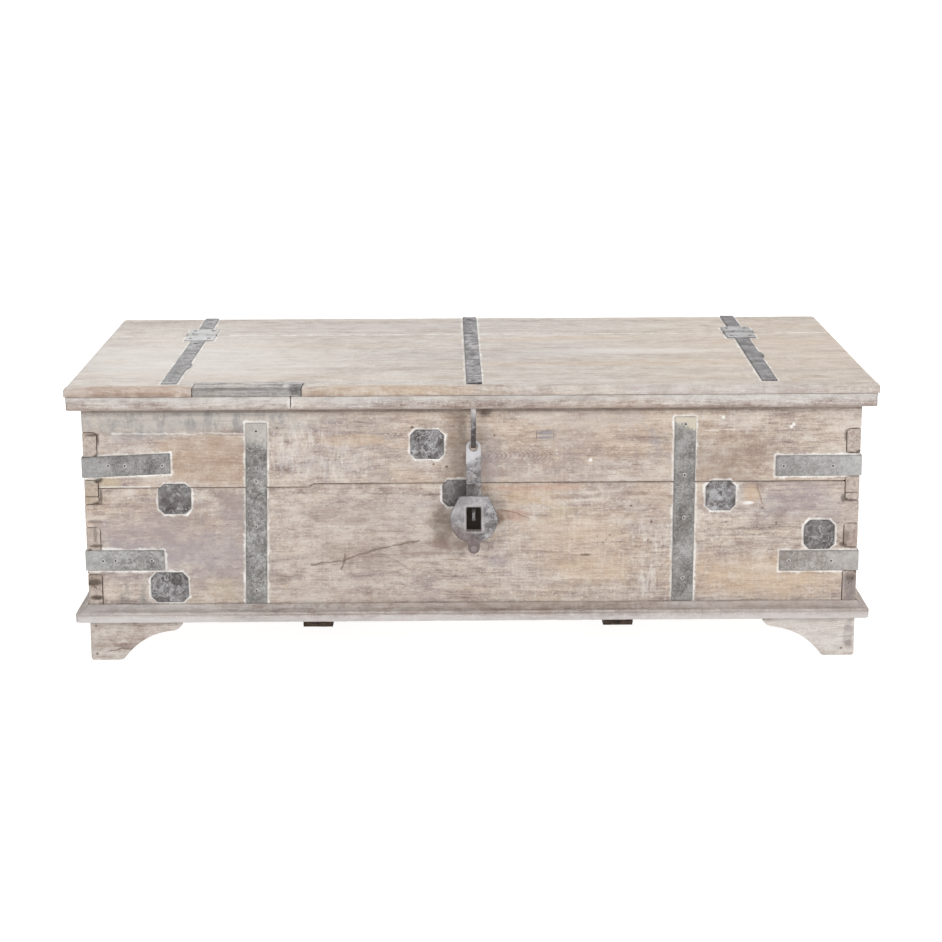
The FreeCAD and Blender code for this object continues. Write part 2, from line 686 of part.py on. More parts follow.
lip_inner_x = CASE_X + LIP_CLEARANCE
lip_inner_y = CASE_Y + LIP_CLEARANCE
front_lip = mitred(box(-LIP_X, LIP_X, -LIP_Y, -lip_inner_y, LIP_BOTTOM, CASE_TOP), LIP_X, LIP_Y)
left_of_butt = box(-HALF_W, LIP_BUTT - half_gap, -HALF_D, 0, LIP_BOTTOM, CASE_TOP)
right_of_butt = box(LIP_BUTT + half_gap, HALF_W, -HALF_D, 0, LIP_BOTTOM, CASE_TOP)
save("lid_rim_front_left", front_lip.common(left_of_butt))
save("lid_rim_front_right", front_lip.common(right_of_butt).cut(staple))
side_lip = box(lip_inner_x, LIP_X, -LIP_Y, LID_BACK, LIP_BOTTOM, CASE_TOP)
side_lip = mitred_side(side_lip, LIP_X, LIP_Y)
save("lid_rim_right", side_lip)
save("lid_rim_left", mirror_x(side_lip))

batten_bottom = CASE_TOP - LID_BATTEN_THICKNESS
battens = [
    box(x - LID_BATTEN_WIDTH / 2, x + LID_BATTEN_WIDTH / 2, -INNER_Y + 12, HINGE_LINE - 20,
        batten_bottom, CASE_TOP)
    for x in LID_BATTENS
]
save("lid_battens", *battens)
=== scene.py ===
import math
from typing import NamedTuple

import bmesh
import bpy
import numpy as np
from mathutils import Matrix, Vector
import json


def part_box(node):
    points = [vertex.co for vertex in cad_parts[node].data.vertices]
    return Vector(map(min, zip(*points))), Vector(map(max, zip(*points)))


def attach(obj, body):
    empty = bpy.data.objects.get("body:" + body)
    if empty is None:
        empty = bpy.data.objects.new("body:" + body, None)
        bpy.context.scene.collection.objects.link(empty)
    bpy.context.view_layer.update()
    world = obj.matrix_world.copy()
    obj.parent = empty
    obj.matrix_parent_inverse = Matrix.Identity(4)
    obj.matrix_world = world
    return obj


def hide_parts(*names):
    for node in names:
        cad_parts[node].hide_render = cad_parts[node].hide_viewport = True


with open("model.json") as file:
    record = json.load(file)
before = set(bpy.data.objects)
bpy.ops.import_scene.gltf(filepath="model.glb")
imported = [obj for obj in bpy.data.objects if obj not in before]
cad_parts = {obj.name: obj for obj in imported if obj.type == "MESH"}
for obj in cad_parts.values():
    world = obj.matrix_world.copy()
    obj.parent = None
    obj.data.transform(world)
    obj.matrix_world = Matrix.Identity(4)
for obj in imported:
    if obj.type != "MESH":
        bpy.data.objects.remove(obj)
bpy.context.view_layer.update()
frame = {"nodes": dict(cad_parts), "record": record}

MM = 0.001
X, Y, Z = 0, 1, 2
FRONT, TOP, SIDE = (X, Z), (X, Y), (Y, Z)
BODY_OF = {
    node: body
    for body, nodes in frame["record"]["behaviour"]["bodies"].items()
    for node in nodes
}

# ---- Camera ---------------------------------------------------------------------
CAMERA_AZIMUTH = math.radians(-0.368)
CAMERA_ELEVATION = math.radians(11.766)
CAMERA_ROLL = math.radians(-0.25)
CAMERA_DISTANCE = 3.7555
CAMERA_TARGET = Vector((0.0005, 0.0, 0.4274))
CAMERA_LENS = 79.45
CAMERA_SHIFT = -0.10       # keeps the upright edges nearly parallel, as with a levelled camera
SENSOR_WIDTH = 36.0


def make_camera():
    data = bpy.data.cameras.new("camera")
    data.lens = CAMERA_LENS
    data.sensor_width = SENSOR_WIDTH
    data.shift_y = CAMERA_SHIFT
    camera = bpy.data.objects.new("camera", data)
    bpy.context.scene.collection.objects.link(camera)
    back = Vector((
        math.sin(CAMERA_AZIMUTH) * math.cos(CAMERA_ELEVATION),
        -math.cos(CAMERA_AZIMUTH) * math.cos(CAMERA_ELEVATION),
        math.sin(CAMERA_ELEVATION),
    ))
    right = Vector((0, 0, 1)).cross(back).normalized()
    up = back.cross(right)
    turned_right = right * math.cos(CAMERA_ROLL) + up * math.sin(CAMERA_ROLL)
    turned_up = up * math.cos(CAMERA_ROLL) - right * math.sin(CAMERA_ROLL)
    rotation = Matrix((turned_right, turned_up, back)).transposed().to_4x4()
    place = Matrix.Translation(CAMERA_TARGET + back * CAMERA_DISTANCE)
    camera.matrix_world = place @ rotation
    bpy.context.scene.camera = camera


# ---- Lights and floor -----------------------------------------------------------
FLOOR_HALF = 60.0
FLOOR_GLOW = 0.9


def soft_sun(name, azimuth, elevation, strength, spread_angle):
    """A wide distant light. At azimuth 0 it stands in front, and at 90 on the right."""
    data = bpy.data.lights.new(name, "SUN")
    data.energy = strength
    data.angle = math.radians(spread_angle)
    light = bpy.data.objects.new(name, data)
    turn, tilt = math.radians(azimuth), math.radians(elevation)
    towards = Vector((
        math.sin(turn) * math.cos(tilt), -math.cos(turn) * math.cos(tilt), math.sin(tilt)))
    light.rotation_euler = towards.to_track_quat("Z", "Y").to_euler()
    bpy.context.scene.collection.objects.link(light)


def make_world(seen, lighting):
    """A white studio: seen is the strength behind the object, and lighting that on it."""
    world = bpy.data.worlds.new("studio")
    world.use_nodes = True
    tree = world.node_tree
    light = tree.nodes["Background"]
    light.inputs["Strength"].default_value = lighting
    light.inputs["Color"].default_value = (1, 1, 1, 1)
    backdrop = tree.nodes.new("ShaderNodeBackground")
    backdrop.inputs["Strength"].default_value = seen
    path = tree.nodes.new("ShaderNodeLightPath")
    choice = tree.nodes.new("ShaderNodeMixShader")
    tree.links.new(path.outputs["Is Camera Ray"], choice.inputs[0])
    tree.links.new(light.outputs[0], choice.inputs[1])
    tree.links.new(backdrop.outputs[0], choice.inputs[2])
    tree.links.new(choice.outputs[0], tree.nodes["World Output"].inputs["Surface"])
    backdrop.inputs["Color"].default_value = (1, 1, 1, 1)
    bpy.context.scene.world = world


def make_stage():
    bpy.context.scene.view_settings.view_transform = "Standard"
    make_world(seen=1.0, lighting=0.52)
    soft_sun("left_light", -48, 17, 0.80, 14)
    soft_sun("right_light", 52, 24, 1.35, 9)
    soft_sun("top_light", 180, 80, 1.35, 25)
    soft_sun("back_light", 170, 30, 0.5, 30)

    mesh = bpy.data.meshes.new("floor")
    far = FLOOR_HALF
    corners = [(-far, -far, 0), (far, -far, 0), (far, far, 0), (-far, far, 0)]
    mesh.from_pydata(corners, [], [(0, 1, 2, 3)])
    floor = bpy.data.objects.new("floor", mesh)
    bpy.context.scene.collection.objects.link(floor)
    paint = Shader("light_table")
    paint.bsdf.inputs["Emission Color"].default_value = (1, 1, 1, 1)
    paint.bsdf.inputs["Emission Strength"].default_value = FLOOR_GLOW
    paint.finish(color=(0.35, 0.35, 0.35), roughness=0.9)
    mesh.materials.append(paint.material)


# ---- Shader building ------------------------------------------------------------
class Field:
    """A number that varies over a surface. Arithmetic on it adds shader nodes."""

    def __init__(self, shader, socket):
        self.shader = shader
        self.socket = socket

    def __add__(self, other):
        return self.shader.math("ADD", self, other)

    def __sub__(self, number):
        return self + -number

    def __rsub__(self, number):
        return self.shader.math("SUBTRACT", number, self)

    def __mul__(self, other):
        return self.shader.math("MULTIPLY", self, other)

    def __abs__(self):
        return self.shader.math("ABSOLUTE", self)


class Shader:
    """Builds one node material. Its methods take fields, sockets or plain numbers."""

    limit = 1.0      # where marks may appear

    def __init__(self, name):
        self.material = bpy.data.materials.new(name)
        self.material.use_nodes = True
        self.tree = self.material.node_tree
        self.bsdf = self.tree.nodes["Principled BSDF"]
        self.coordinates = None

    def node(self, kind, **settings):
        made = self.tree.nodes.new(kind)
        for key, value in settings.items():
            setattr(made, key, value)
        return made

    def plug(self, socket, value):
        if isinstance(value, Field):
            value = value.socket
        if isinstance(value, bpy.types.NodeSocket):
            self.tree.links.new(value, socket)
        elif isinstance(value, (tuple, list)) and len(value) == 3 and socket.type == "RGBA":
            socket.default_value = (*value, 1)
        else:
            socket.default_value = value

    def position(self):
        if self.coordinates is None:
            self.coordinates = self.node("ShaderNodeTexCoord")
        return self.coordinates.outputs["Object"]

    def normal(self):
        self.position()
        return self.coordinates.outputs["Normal"]

    def math(self, operation, a, b=0.0, clamp=False):
        made = self.node("ShaderNodeMath", operation=operation, use_clamp=clamp)
        self.plug(made.inputs[0], a)
        self.plug(made.inputs[1], b)
        return Field(self, made.outputs[0])

    def least(self, values):
        result = values[0]
        for value in values[1:]:
            result = self.math("MINIMUM", result, value)
        return result

    def vector(self, operation, a, b=(0.0, 0.0, 0.0)):
        made = self.node("ShaderNodeVectorMath", operation=operation)
        self.plug(made.inputs[0], a)
        self.plug(made.inputs[1], b)
        if operation in ("LENGTH", "DOT_PRODUCT"):
            return Field(self, made.outputs["Value"])
        return made.outputs[0]

    def split(self, vector):
        made = self.node("ShaderNodeSeparateXYZ")
        self.plug(made.inputs[0], vector)
        return [Field(self, output) for output in made.outputs]

    def combine(self, x, y, z=0.0):
        made = self.node("ShaderNodeCombineXYZ")
        for socket, value in zip(made.inputs, (x, y, z)):
            self.plug(socket, value)
        return made.outputs[0]

    def noise(self, vector, scale, detail=2.0, roughness=0.5):
        """Fractal noise from 0 to 1. scale is one number, or one for each axis."""
        if isinstance(scale, (tuple, list)):
            vector = self.vector("MULTIPLY", vector, scale)
            scale = 1.0
        made = self.node("ShaderNodeTexNoise")
        self.plug(made.inputs["Vector"], vector)
        self.plug(made.inputs["Scale"], scale)
        self.plug(made.inputs["Detail"], detail)
        self.plug(made.inputs["Roughness"], roughness)
        return Field(self, made.outputs[0])

    def cells(self, vector, scale):
        """Scattered points: the distance to the nearest in cell widths, and its random value."""
        made = self.node("ShaderNodeTexVoronoi")
        self.plug(made.inputs["Vector"], vector)
        self.plug(made.inputs["Scale"], scale)
        return Field(self, made.outputs["Distance"]), self.split(made.outputs["Color"])[0]

    def span(self, value, low, high, out_low, out_high, kind="LINEAR"):
        made = self.node("ShaderNodeMapRange", interpolation_type=kind)
        for socket, number in zip(made.inputs, (value, low, high, out_low, out_high)):
            self.plug(socket, number)
        return Field(self, made.outputs[0])

    def step(self, value, low, high):
        """Smoothly from 0 at low to 1 at high, or the other way if low is more than high."""
        if low > high:
            return self.span(value, high, low, 1.0, 0.0, "SMOOTHSTEP")
        return self.span(value, low, high, 0.0, 1.0, "SMOOTHSTEP")

    def mix(self, factor, a, b, blend="MIX"):
        made = self.node("ShaderNodeMix", data_type="RGBA", blend_type=blend)
        self.plug(made.inputs[0], factor)
        self.plug(made.inputs[6], a)
        self.plug(made.inputs[7], b)
        return made.outputs[2]

    def ramp(self, value, stops):
        made = self.node("ShaderNodeValToRGB")
        elements = made.color_ramp.elements
        while len(elements) < len(stops):
            elements.new(0.5)
        for element, (place, color) in zip(elements, stops):
            element.position = place
            element.color = (*color, 1)
        self.plug(made.inputs[0], value)
        return made.outputs[0]

    def attribute(self, name):
        return Field(self, self.node("ShaderNodeAttribute", attribute_name=name).outputs["Fac"])

    def box_distance(self, u, v, centre, half, cut=0.0):
        """How far a point (u, v) is outside a rectangle, with its corners cut off if asked."""
        place = self.combine(u, v)
        offset = self.vector("ABSOLUTE", self.vector("SUBTRACT", place, (*centre, 0.0)))
        past = self.vector("SUBTRACT", offset, (*half, 0.0))
        reach = self.vector("LENGTH", self.vector("MAXIMUM", past))
        if cut:
            slope = self.vector("DOT_PRODUCT", past, (1.0, 1.0, 0.0)) * math.sqrt(0.5)
            reach = self.math("MAXIMUM", reach, slope + cut * math.sqrt(0.5))
        return reach

    def segment_distance(self, u, v, start, end):
        """How far a point (u, v) is from a straight line between two points."""
        along = Vector(end) - Vector(start)
        offset = self.vector("SUBTRACT", self.combine(u, v), (*start, 0.0))
        share = self.vector("DOT_PRODUCT", offset, (along.x, along.y, 0.0))
        share = self.math("MULTIPLY", share, 1 / along.length_squared, clamp=True)
        nearest = self.combine(share * along.x, share * along.y)
        return self.vector("LENGTH", self.vector("SUBTRACT", offset, nearest))

    def tint(self, mask, strength, color):
        """Mixes a colour in, only where marks may appear."""
        self.color = self.mix(mask * strength * self.limit, self.color, color)

    def fade(self, value, low, high, strength, color):
        """Mixes a colour in where the value has passed from low to high."""
        self.tint(self.step(value, low, high), strength, color)

    def finish(self, color, roughness, metallic=0.0, bump=None, depth=0.001, specular=0.35):
        self.plug(self.bsdf.inputs["Base Color"], color)
        self.plug(self.bsdf.inputs["Roughness"], roughness)
        self.plug(self.bsdf.inputs["Metallic"], metallic)
        self.bsdf.inputs["Specular IOR Level"].default_value = specular
        if bump is not None:
            made = self.node("ShaderNodeBump")
            made.inputs["Strength"].default_value = 1.0
            made.inputs["Distance"].default_value = depth
            self.plug(made.inputs["Height"], bump)
            self.plug(self.bsdf.inputs["Normal"], made.outputs[0])


# ---- Repeatable noise on vertices -----------------------------------------------
def lattice_value(ix, iy, iz, seed):
    """A repeatable random number from 0 to 1 for each whole-number lattice point."""
    mixed = (ix * 374761393 + iy * 668265263 + iz * 1274126177 + seed * 974634777) & 0xFFFFFFFF
    mixed = ((mixed ^ (mixed >> 13)) * 1103515245) & 0xFFFFFFFF
    mixed = ((mixed ^ (mixed >> 15)) * 2654435761) & 0xFFFFFFFF
    return (mixed ^ (mixed >> 16)) / 4294967295.0


def smooth_noise(points, size, seed):
    """Value noise from -1 to 1 at each point. size is the lattice spacing along each axis."""
    scaled = points / np.asarray(size)
    base = np.floor(scaled).astype(np.int64)
    part = scaled - base
    part = part * part * (3 - 2 * part)
    total = np.zeros(len(points))
    for corner in range(8):
        bits = np.array([corner & 1, corner >> 1 & 1, corner >> 2 & 1])
        share = np.prod(np.where(bits, part, 1 - part), axis=1)
        cell = base + bits
        total += share * lattice_value(cell[:, 0], cell[:, 1], cell[:, 2], seed)
    return total * 2 - 1


def dimples(points, size, seed):
    """Distance to the nearest of many scattered points, and a random value of that point's."""
    scaled = points / size
    base = np.floor(scaled).astype(np.int64)
    nearest = np.full(len(points), 9.0)
    chance = np.zeros(len(points))
    for offset in np.ndindex(3, 3, 3):
        cell = base + np.array(offset) - 1
        jitter = [lattice_value(*cell.T, seed + axis) for axis in range(3)]
        away = np.linalg.norm(scaled - cell - np.stack(jitter, axis=1), axis=1)
        closer = away < nearest
        nearest[closer] = away[closer]
        chance[closer] = lattice_value(*cell[closer].T, seed + 3)
    return nearest, chance


def vertex_array(mesh, field):
    values = np.empty(len(mesh.vertices) * 3)
    mesh.vertices.foreach_get(field, values)
    return values.reshape(-1, 3)


def spread(mesh, values, rounds):
    """Blurs a value over the mesh, by one ring of neighbours in each round."""
    edges = np.empty(len(mesh.edges) * 2, dtype=np.int64)
    mesh.edges.foreach_get("vertices", edges)
    edges = edges.reshape(-1, 2)
    count = len(values)
    first, second = edges[:, 0], edges[:, 1]
    degree = np.bincount(first, minlength=count) + np.bincount(second, minlength=count)
    for _ in range(rounds):
        total = np.bincount(first, values[second], count)
        total += np.bincount(second, values[first], count)
        values = 0.4 * values + 0.6 * total / np.maximum(degree, 1)
    return values


# ---- Meshes from the CAD nodes --------------------------------------------------
WELD = 0.001 * MM


def loose_parts(node):
    """The separate solids of a node, each as its own welded mesh."""
    whole = bmesh.new()
    whole.from_mesh(frame["nodes"][node].data)
    bmesh.ops.remove_doubles(whole, verts=whole.verts, dist=WELD)
    whole.verts.ensure_lookup_table()
    seen = set()
    parts = []
    for start in whole.verts:
        if start.index in seen:
            continue
        group = []
        waiting = [start]
        seen.add(start.index)
        while waiting:
            vertex = waiting.pop()
            group.append(vertex)
            for edge in vertex.link_edges:
                other = edge.other_vert(vertex)
                if other.index not in seen:
                    seen.add(other.index)
                    waiting.append(other)
        order = {vertex.index: i for i, vertex in enumerate(group)}
        faces = {face for vertex in group for face in vertex.link_faces}
        outlines = sorted([order[v.index] for v in face.verts] for face in faces)
        mesh = bpy.data.meshes.new(node)
        mesh.from_pydata([tuple(v.co) for v in group], [], outlines)
        parts.append(mesh)
    whole.free()
    return parts


def remeshed(mesh, voxel, stretch):
    """An even mesh of the same solid. stretch makes its squares longer along some axes."""
    mesh.transform(Matrix.Diagonal((1 / stretch[0], 1 / stretch[1], 1 / stretch[2], 1)))
    holder = bpy.data.objects.new("holder", mesh)
    bpy.context.scene.collection.objects.link(holder)
    modifier = holder.modifiers.new("even", "REMESH")
    modifier.mode = "VOXEL"
    modifier.voxel_size = voxel
    graph = bpy.context.evaluated_depsgraph_get()
    result = bpy.data.meshes.new_from_object(holder.evaluated_get(graph))
    bpy.data.objects.remove(holder)
    bpy.data.meshes.remove(mesh)
    result.transform(Matrix.Diagonal((*stretch, 1)))
    return result


def joined(meshes, name):
    together = bmesh.new()
    for mesh in meshes:
        together.from_mesh(mesh)
        bpy.data.meshes.remove(mesh)
    result = bpy.data.meshes.new(name)
    together.to_mesh(result)
    together.free()
    return result


def even_copy(node, voxel, stretch):
    parts = [remeshed(part, voxel, stretch) for part in loose_parts(node)]
    return joined(parts, node + "_worn")


def place_piece(mesh, node, material):
    """Puts a finished mesh in the scene, in place of its CAD node and on that node's body."""
    mesh.polygons.foreach_set("use_smooth", [True] * len(mesh.polygons))
    mesh.materials.clear()
    mesh.materials.append(material)
    piece = bpy.data.objects.new(mesh.name, mesh)
    bpy.context.scene.collection.objects.link(piece)
    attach(piece, BODY_OF[node])
    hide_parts(node)


def span_of(node, axis):
    """The lowest and highest coordinate of a CAD node on one axis."""
    low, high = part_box(node)
    return low[axis], high[axis]


def move_vertices(mesh, places):
    mesh.vertices.foreach_set("co", places.ravel())
    mesh.update()


def add_layer(mesh, name, values):
    layer = mesh.attributes.new(name, "FLOAT", "POINT")
    layer.data.foreach_set("value", values)


# ---- Worn wood ------------------------------------------------------------------
def along(grain, value, others=1.0):
    """Three numbers, with value on the grain axis."""
    return tuple(value if axis == grain else others for axis in (X, Y, Z))


def round_edges(mesh, rounds, seams=()):
    """Rubs the corners round by smoothing, but not beside a seam: an axis and where it is.

    The overall size is kept, so the piece doesn't shrink.
    """
    places = vertex_array(mesh, "co")
    low, high = places.min(axis=0), places.max(axis=0)
    smoothed = np.stack([spread(mesh, places[:, axis], rounds) for axis in range(3)], axis=1)
    new_low, new_high = smoothed.min(axis=0), smoothed.max(axis=0)
    smoothed = low + (smoothed - new_low) * (high - low) / (new_high - new_low)
    share = np.ones(len(places))
    for axis, value in seams:
        away = np.abs(places[:, axis] - value) - MM
        share = np.minimum(share, np.clip(away / (6 * MM), 0, 1))
    move_vertices(mesh, places + (smoothed - places) * share[:, None])


def wear_wood(mesh, grain, seed, edge_wear=1.0, joint_axis=None):
    """Waviness along the grain, rubbed edges and small dents, all of them inwards.

    Faces across joint_axis meet a neighbouring board, so they stay where they are.
    """
    places = vertex_array(mesh, "co")
    normals = vertex_array(mesh, "normal")
    edge = 1 - np.abs(normals).max(axis=1)
    edge = np.clip(spread(mesh, edge, 5) * 9, 0, 1)

    warp = smooth_noise(places, along(grain, 0.30, 0.09), seed)
    ridges = smooth_noise(places, along(grain, 0.16, 0.011), seed + 1)
    dents = smooth_noise(places, along(grain, 0.05, 0.03), seed + 2)
    rub = smooth_noise(places, along(grain, 0.045, 0.018), seed + 3)
    chips = smooth_noise(places, along(grain, 0.014, 0.008), seed + 4)
    inward = 0.30 + 0.26 * warp + 0.14 * ridges + 0.4 * np.clip(dents - 0.45, 0, 1)
    inward += edge_wear * edge * (0.5 * np.clip(rub, 0, 1) + 1.3 * np.clip(chips - 0.38, 0, 1))
    if joint_axis is not None:
        inward *= 1 - np.abs(normals[:, joint_axis])
    add_layer(mesh, "wear", edge * min(edge_wear, 1.0))
    move_vertices(mesh, places - normals * np.clip(inward, 0, None)[:, None] * MM)


# Linear colours.
LIME = (0.60, 0.56, 0.52)
WHITE_LIME = (0.76, 0.74, 0.71)
BROWN = (0.23, 0.165, 0.135)
TAN = (0.50, 0.36, 0.24)
OCHRE = (0.46, 0.38, 0.25)
LILAC = (0.32, 0.28, 0.29)
GREEN_GRAY = (0.36, 0.365, 0.34)
SOOT = (0.035, 0.025, 0.02)
DIRT = (0.06, 0.042, 0.032)
CRACK = (0.14, 0.095, 0.07)
PIT = (0.11, 0.07, 0.05)

# Each wood has four tones: dark grain, mid grain, bare board and limed board.
CASE_TONES = ((0.205, 0.155, 0.135), (0.335, 0.27, 0.24), (0.44, 0.36, 0.30), (0.55, 0.48, 0.415))
TOP_TONES = ((0.36, 0.305, 0.265), (0.45, 0.40, 0.36), (0.50, 0.46, 0.42), (0.57, 0.535, 0.50))
LIP_TONES = ((0.18, 0.13, 0.105), (0.30, 0.24, 0.21), (0.40, 0.345, 0.315), (0.54, 0.51, 0.48))
BASE_TONES = (
    (0.13, 0.095, 0.08), (0.245, 0.195, 0.175), (0.335, 0.285, 0.265), (0.45, 0.415, 0.395))
FINGER_TONES = ((0.30, 0.235, 0.20), (0.40, 0.335, 0.29), (0.47, 0.41, 0.365))
NOSING_TONES = ((0.25, 0.185, 0.15), (0.38, 0.315, 0.275), (0.49, 0.44, 0.395), (0.60, 0.57, 0.54))
RAW_TONES = ((0.13, 0.09, 0.065), (0.23, 0.17, 0.125), (0.32, 0.25, 0.195), (0.42, 0.345, 0.285))
DARK_TONES = (
    (0.02, 0.014, 0.010), (0.045, 0.030, 0.022), (0.075, 0.052, 0.038), (0.13, 0.10, 0.08))
GRAY_TONES = ((0.08, 0.073, 0.072), (0.23, 0.22, 0.217), (0.40, 0.39, 0.385), (0.60, 0.59, 0.58))
FOOT_TONES = ((0.26, 0.20, 0.165), (0.38, 0.32, 0.28), (0.47, 0.42, 0.38), (0.58, 0.54, 0.51))


class Wood(Shader):
    """Limewashed reclaimed wood with its grain along one axis."""

    def __init__(self, name, grain, seed, tones, lime=0.5, blotch=0.4, dirt=0.5, end_tones=None):
        super().__init__(name)
        self.grain = grain
        place = self.vector("ADD", self.position(), (0.37 * seed, 0.71 * seed, 0.13 * seed))
        bend = self.noise(place, along(grain, 1.9, 8.0), 3.0) - 0.5
        shift = self.combine(*along(grain, 0.0, bend * 0.05))
        self.place = self.vector("ADD", place, shift)
        self.rag = self.noise(self.position(), 34.0, 6.0, 0.72) - 0.5
        self.build(tones, lime, blotch, dirt)
        self.end_grain(end_tones or tones[:3])

    def fibre(self, lengthways, across, detail=2.0, roughness=0.5):
        return self.noise(self.place, along(self.grain, lengthways, across), detail, roughness)

    def patches(self, place, scales, detail, roughness, low, high):
        """1 in ragged patches. The scales are the noise's, along and across the grain."""
        field = self.noise(place, along(self.grain, *scales), detail, roughness)
        return self.step(field, low, high)

    def build(self, tones, lime, blotch, dirt):
        """The grain, and over it the lime, stains, pores, cracks, insect holes and worn edges."""
        here = self.position()
        fine = self.fibre(22.0, 380.0, 3.0, 0.7)
        streak = self.fibre(11.0, 150.0, 4.0, 0.7)
        figure = self.fibre(3.4, 24.0, 4.0, 0.65)
        mottle = self.fibre(30.0, 46.0, 7.0, 0.78)
        grit = self.noise(here, 330.0, 3.0, 0.8)
        tone = streak * 0.32 + figure * 0.28 + mottle * 0.40
        tone += (fine - 0.5) * 0.36 + (grit - 0.5) * 0.26
        color = self.ramp(tone, (
            (0.375, tones[0]), (0.455, tones[1]), (0.515, tones[2]), (0.61, tones[3])))

        warm = self.patches(self.place, (3.0, 6.5), 5.0, 0.62, 0.48, 0.66)
        color = self.mix(warm * (0.50 * blotch), color, TAN)
        cool = self.patches(self.place, (5.0, 9.0), 6.0, 0.68, 0.47, 0.64)
        color = self.mix(cool * (0.70 * blotch), color, LILAC)
        moss = self.patches(here, (9.0, 12.0), 5.0, 0.7, 0.54, 0.68)
        color = self.mix(moss * (0.40 * blotch), color, GREEN_GRAY)

        cloud = self.fibre(6.0, 14.0, 7.0, 0.78)
        wash = self.step(cloud * 0.6 + mottle * 0.4, 0.46, 0.60)
        color = self.mix(wash * lime, color, LIME)

        saw = self.patches(here, (230.0, 26.0), 3.0, 0.6, 0.48, 0.66)
        saw_zone = self.step(self.noise(here, 3.7, 3.0), 0.48, 0.62)
        color = self.mix(saw * saw_zone * 0.13, color, WHITE_LIME)

        grime = self.step(self.noise(here, 32.0, 7.0, 0.78), 0.55, 0.68)
        color = self.mix(grime * (0.30 * dirt), color, BROWN)
        pores = self.step(self.fibre(130.0, 820.0, 1.0), 0.62, 0.76)
        color = self.mix(pores * 0.22, color, BROWN)
        flecks = self.patches(here, (130.0, 210.0), 3.0, 0.7, 0.58, 0.68)
        color = self.mix(flecks * 0.35, color, WHITE_LIME)

        crack_field = abs(self.fibre(3.0, 26.0, 3.0) - 0.5)
        crack_zone = self.step(self.fibre(4.4, 16.0, 1.0), 0.62, 0.70)
        cracks = self.step(crack_field, 0.006, 0.001) * crack_zone
        color = self.mix(cracks * 0.4, color, BROWN)

        away, chance = self.cells(here, 9.0)
        holes = self.step(away, 0.018, 0.008) * self.step(chance, 0.68, 0.69)
        color = self.mix(holes * 0.7, color, SOOT)
        away, chance = self.cells(self.vector("ADD", here, (3.1, 1.7, 2.3)), 40.0)
        specks = self.step(away, 0.09, 0.03) * self.step(chance, 0.86, 0.87)
        color = self.mix(specks * 0.7, color, WHITE_LIME)

        wear = self.attribute("wear")
        worn = wear * self.span(streak, 0.40, 0.62, 0.10, 0.6)
        color = self.mix(worn, color, tones[3])
        rub = self.step(self.noise(here, 60.0, 4.0, 0.7), 0.50, 0.62)
        self.color = self.mix(wear * rub * 0.55, color, BROWN)

        self.streak = streak
        self.mottle = mottle
        raised = streak * 0.45 + fine * 0.25 + mottle * 0.45 + grit * 0.12
        self.height = raised + cracks * -0.6 + (pores + holes) * -0.3

    def end_grain(self, tones):
        """Where the board is cut across, its grain shows as rough pitted dots and rings."""
        end = self.step(abs(self.split(self.normal())[self.grain]), 0.72, 0.9)
        rings = self.math("SINE", self.noise(self.position(), 60.0, 1.0) * 60.0)
        ends = self.noise(self.position(), 150.0, 5.0, 0.75) + rings * 0.035
        end_color = self.ramp(ends, ((0.38, tones[0]), (0.48, tones[1]), (0.60, tones[2])))
        self.color = self.mix(end, self.color, end_color)

    def mark_face(self, axis, sign):
        """From here on, marks appear only on faces that look this way."""
        facing = self.split(self.normal())[axis] * sign
        self.limit = self.step(facing, 0.4, 0.7)

    def flat(self, plane):
        """The two object coordinates of a plane, as a vector."""
        coordinates = self.split(self.position())
        return self.combine(coordinates[plane[0]], coordinates[plane[1]])

    def zone(self, plane, centre, half, ragged=1.0, soft=0.4):
        """1 inside an ellipse with ragged edges, and 0 well outside it."""
        offset = self.vector("SUBTRACT", self.flat(plane), (*centre, 0.0))
        scaled = self.vector("MULTIPLY", offset, (1 / half[0], 1 / half[1], 0.0))
        reach = self.vector("LENGTH", scaled)
        inside = self.step(reach + self.rag * (3.2 * ragged), 1.0 + soft, 1.0 - soft)
        return inside * self.span(self.mottle, 0.40, 0.58, 1.0, 1.0 - 0.6 * ragged)

    def stain(self, plane, centre, half, color, strength, ragged=1.0, soft=0.4):
        self.tint(self.zone(plane, centre, half, ragged, soft), strength, color)

    def stains(self, plane, rows):
        for row in rows:
            self.stain(plane, *row)

    def socket_shadow(self, plane, centre, half):
        """1 inside a rectangle with slightly uneven sides: painted shade where the inside of a
        hole is dark.
        """
        u, v, _ = self.split(self.flat(plane))
        reach = self.box_distance(u, v, centre, half) + self.rag * (4 * MM)
        return self.step(reach, 2.0 * MM, 0.5 * MM)

    def smears(self, plane, centre, half, color, strength, pitch=70.0):
        """Short smears across the grain inside an ellipse."""
        zone = self.zone(plane, centre, half, 0.8, 0.4)
        marks = self.fibre(pitch, pitch * 0.3, 5.0, 0.7)
        self.tint(zone * self.step(marks, 0.46, 0.60), strength, color)

    def line(self, plane, points, width, wander=7 * MM):
        """A thin line through the points, uneven in width and direction."""
        rag = self.noise(self.position(), 42.0, 5.0, 0.7) - 0.5
        shift = self.combine(0.0, rag * (wander * 2))
        u, v, _ = self.split(self.vector("ADD", self.flat(plane), shift))
        ends = zip(points, points[1:])
        reach = self.least([self.segment_distance(u, v, start, end) for start, end in ends])
        uneven = self.noise(self.position(), 55.0, 3.0, 0.7)
        thick = self.span(uneven, 0.36, 0.64, 0.25 * width, width)
        return self.math("SUBTRACT", 1.0, self.math("DIVIDE", reach, thick), clamp=True)

    def peppered(self, plane, centre, half, color, strength):
        """Dark specks scattered inside an ellipse."""
        zone = self.zone(plane, centre, half, 0.5, 0.3)
        specks = self.step(self.noise(self.position(), 150.0, 2.0, 0.6), 0.60, 0.68)
        self.tint(zone * specks, strength, color)

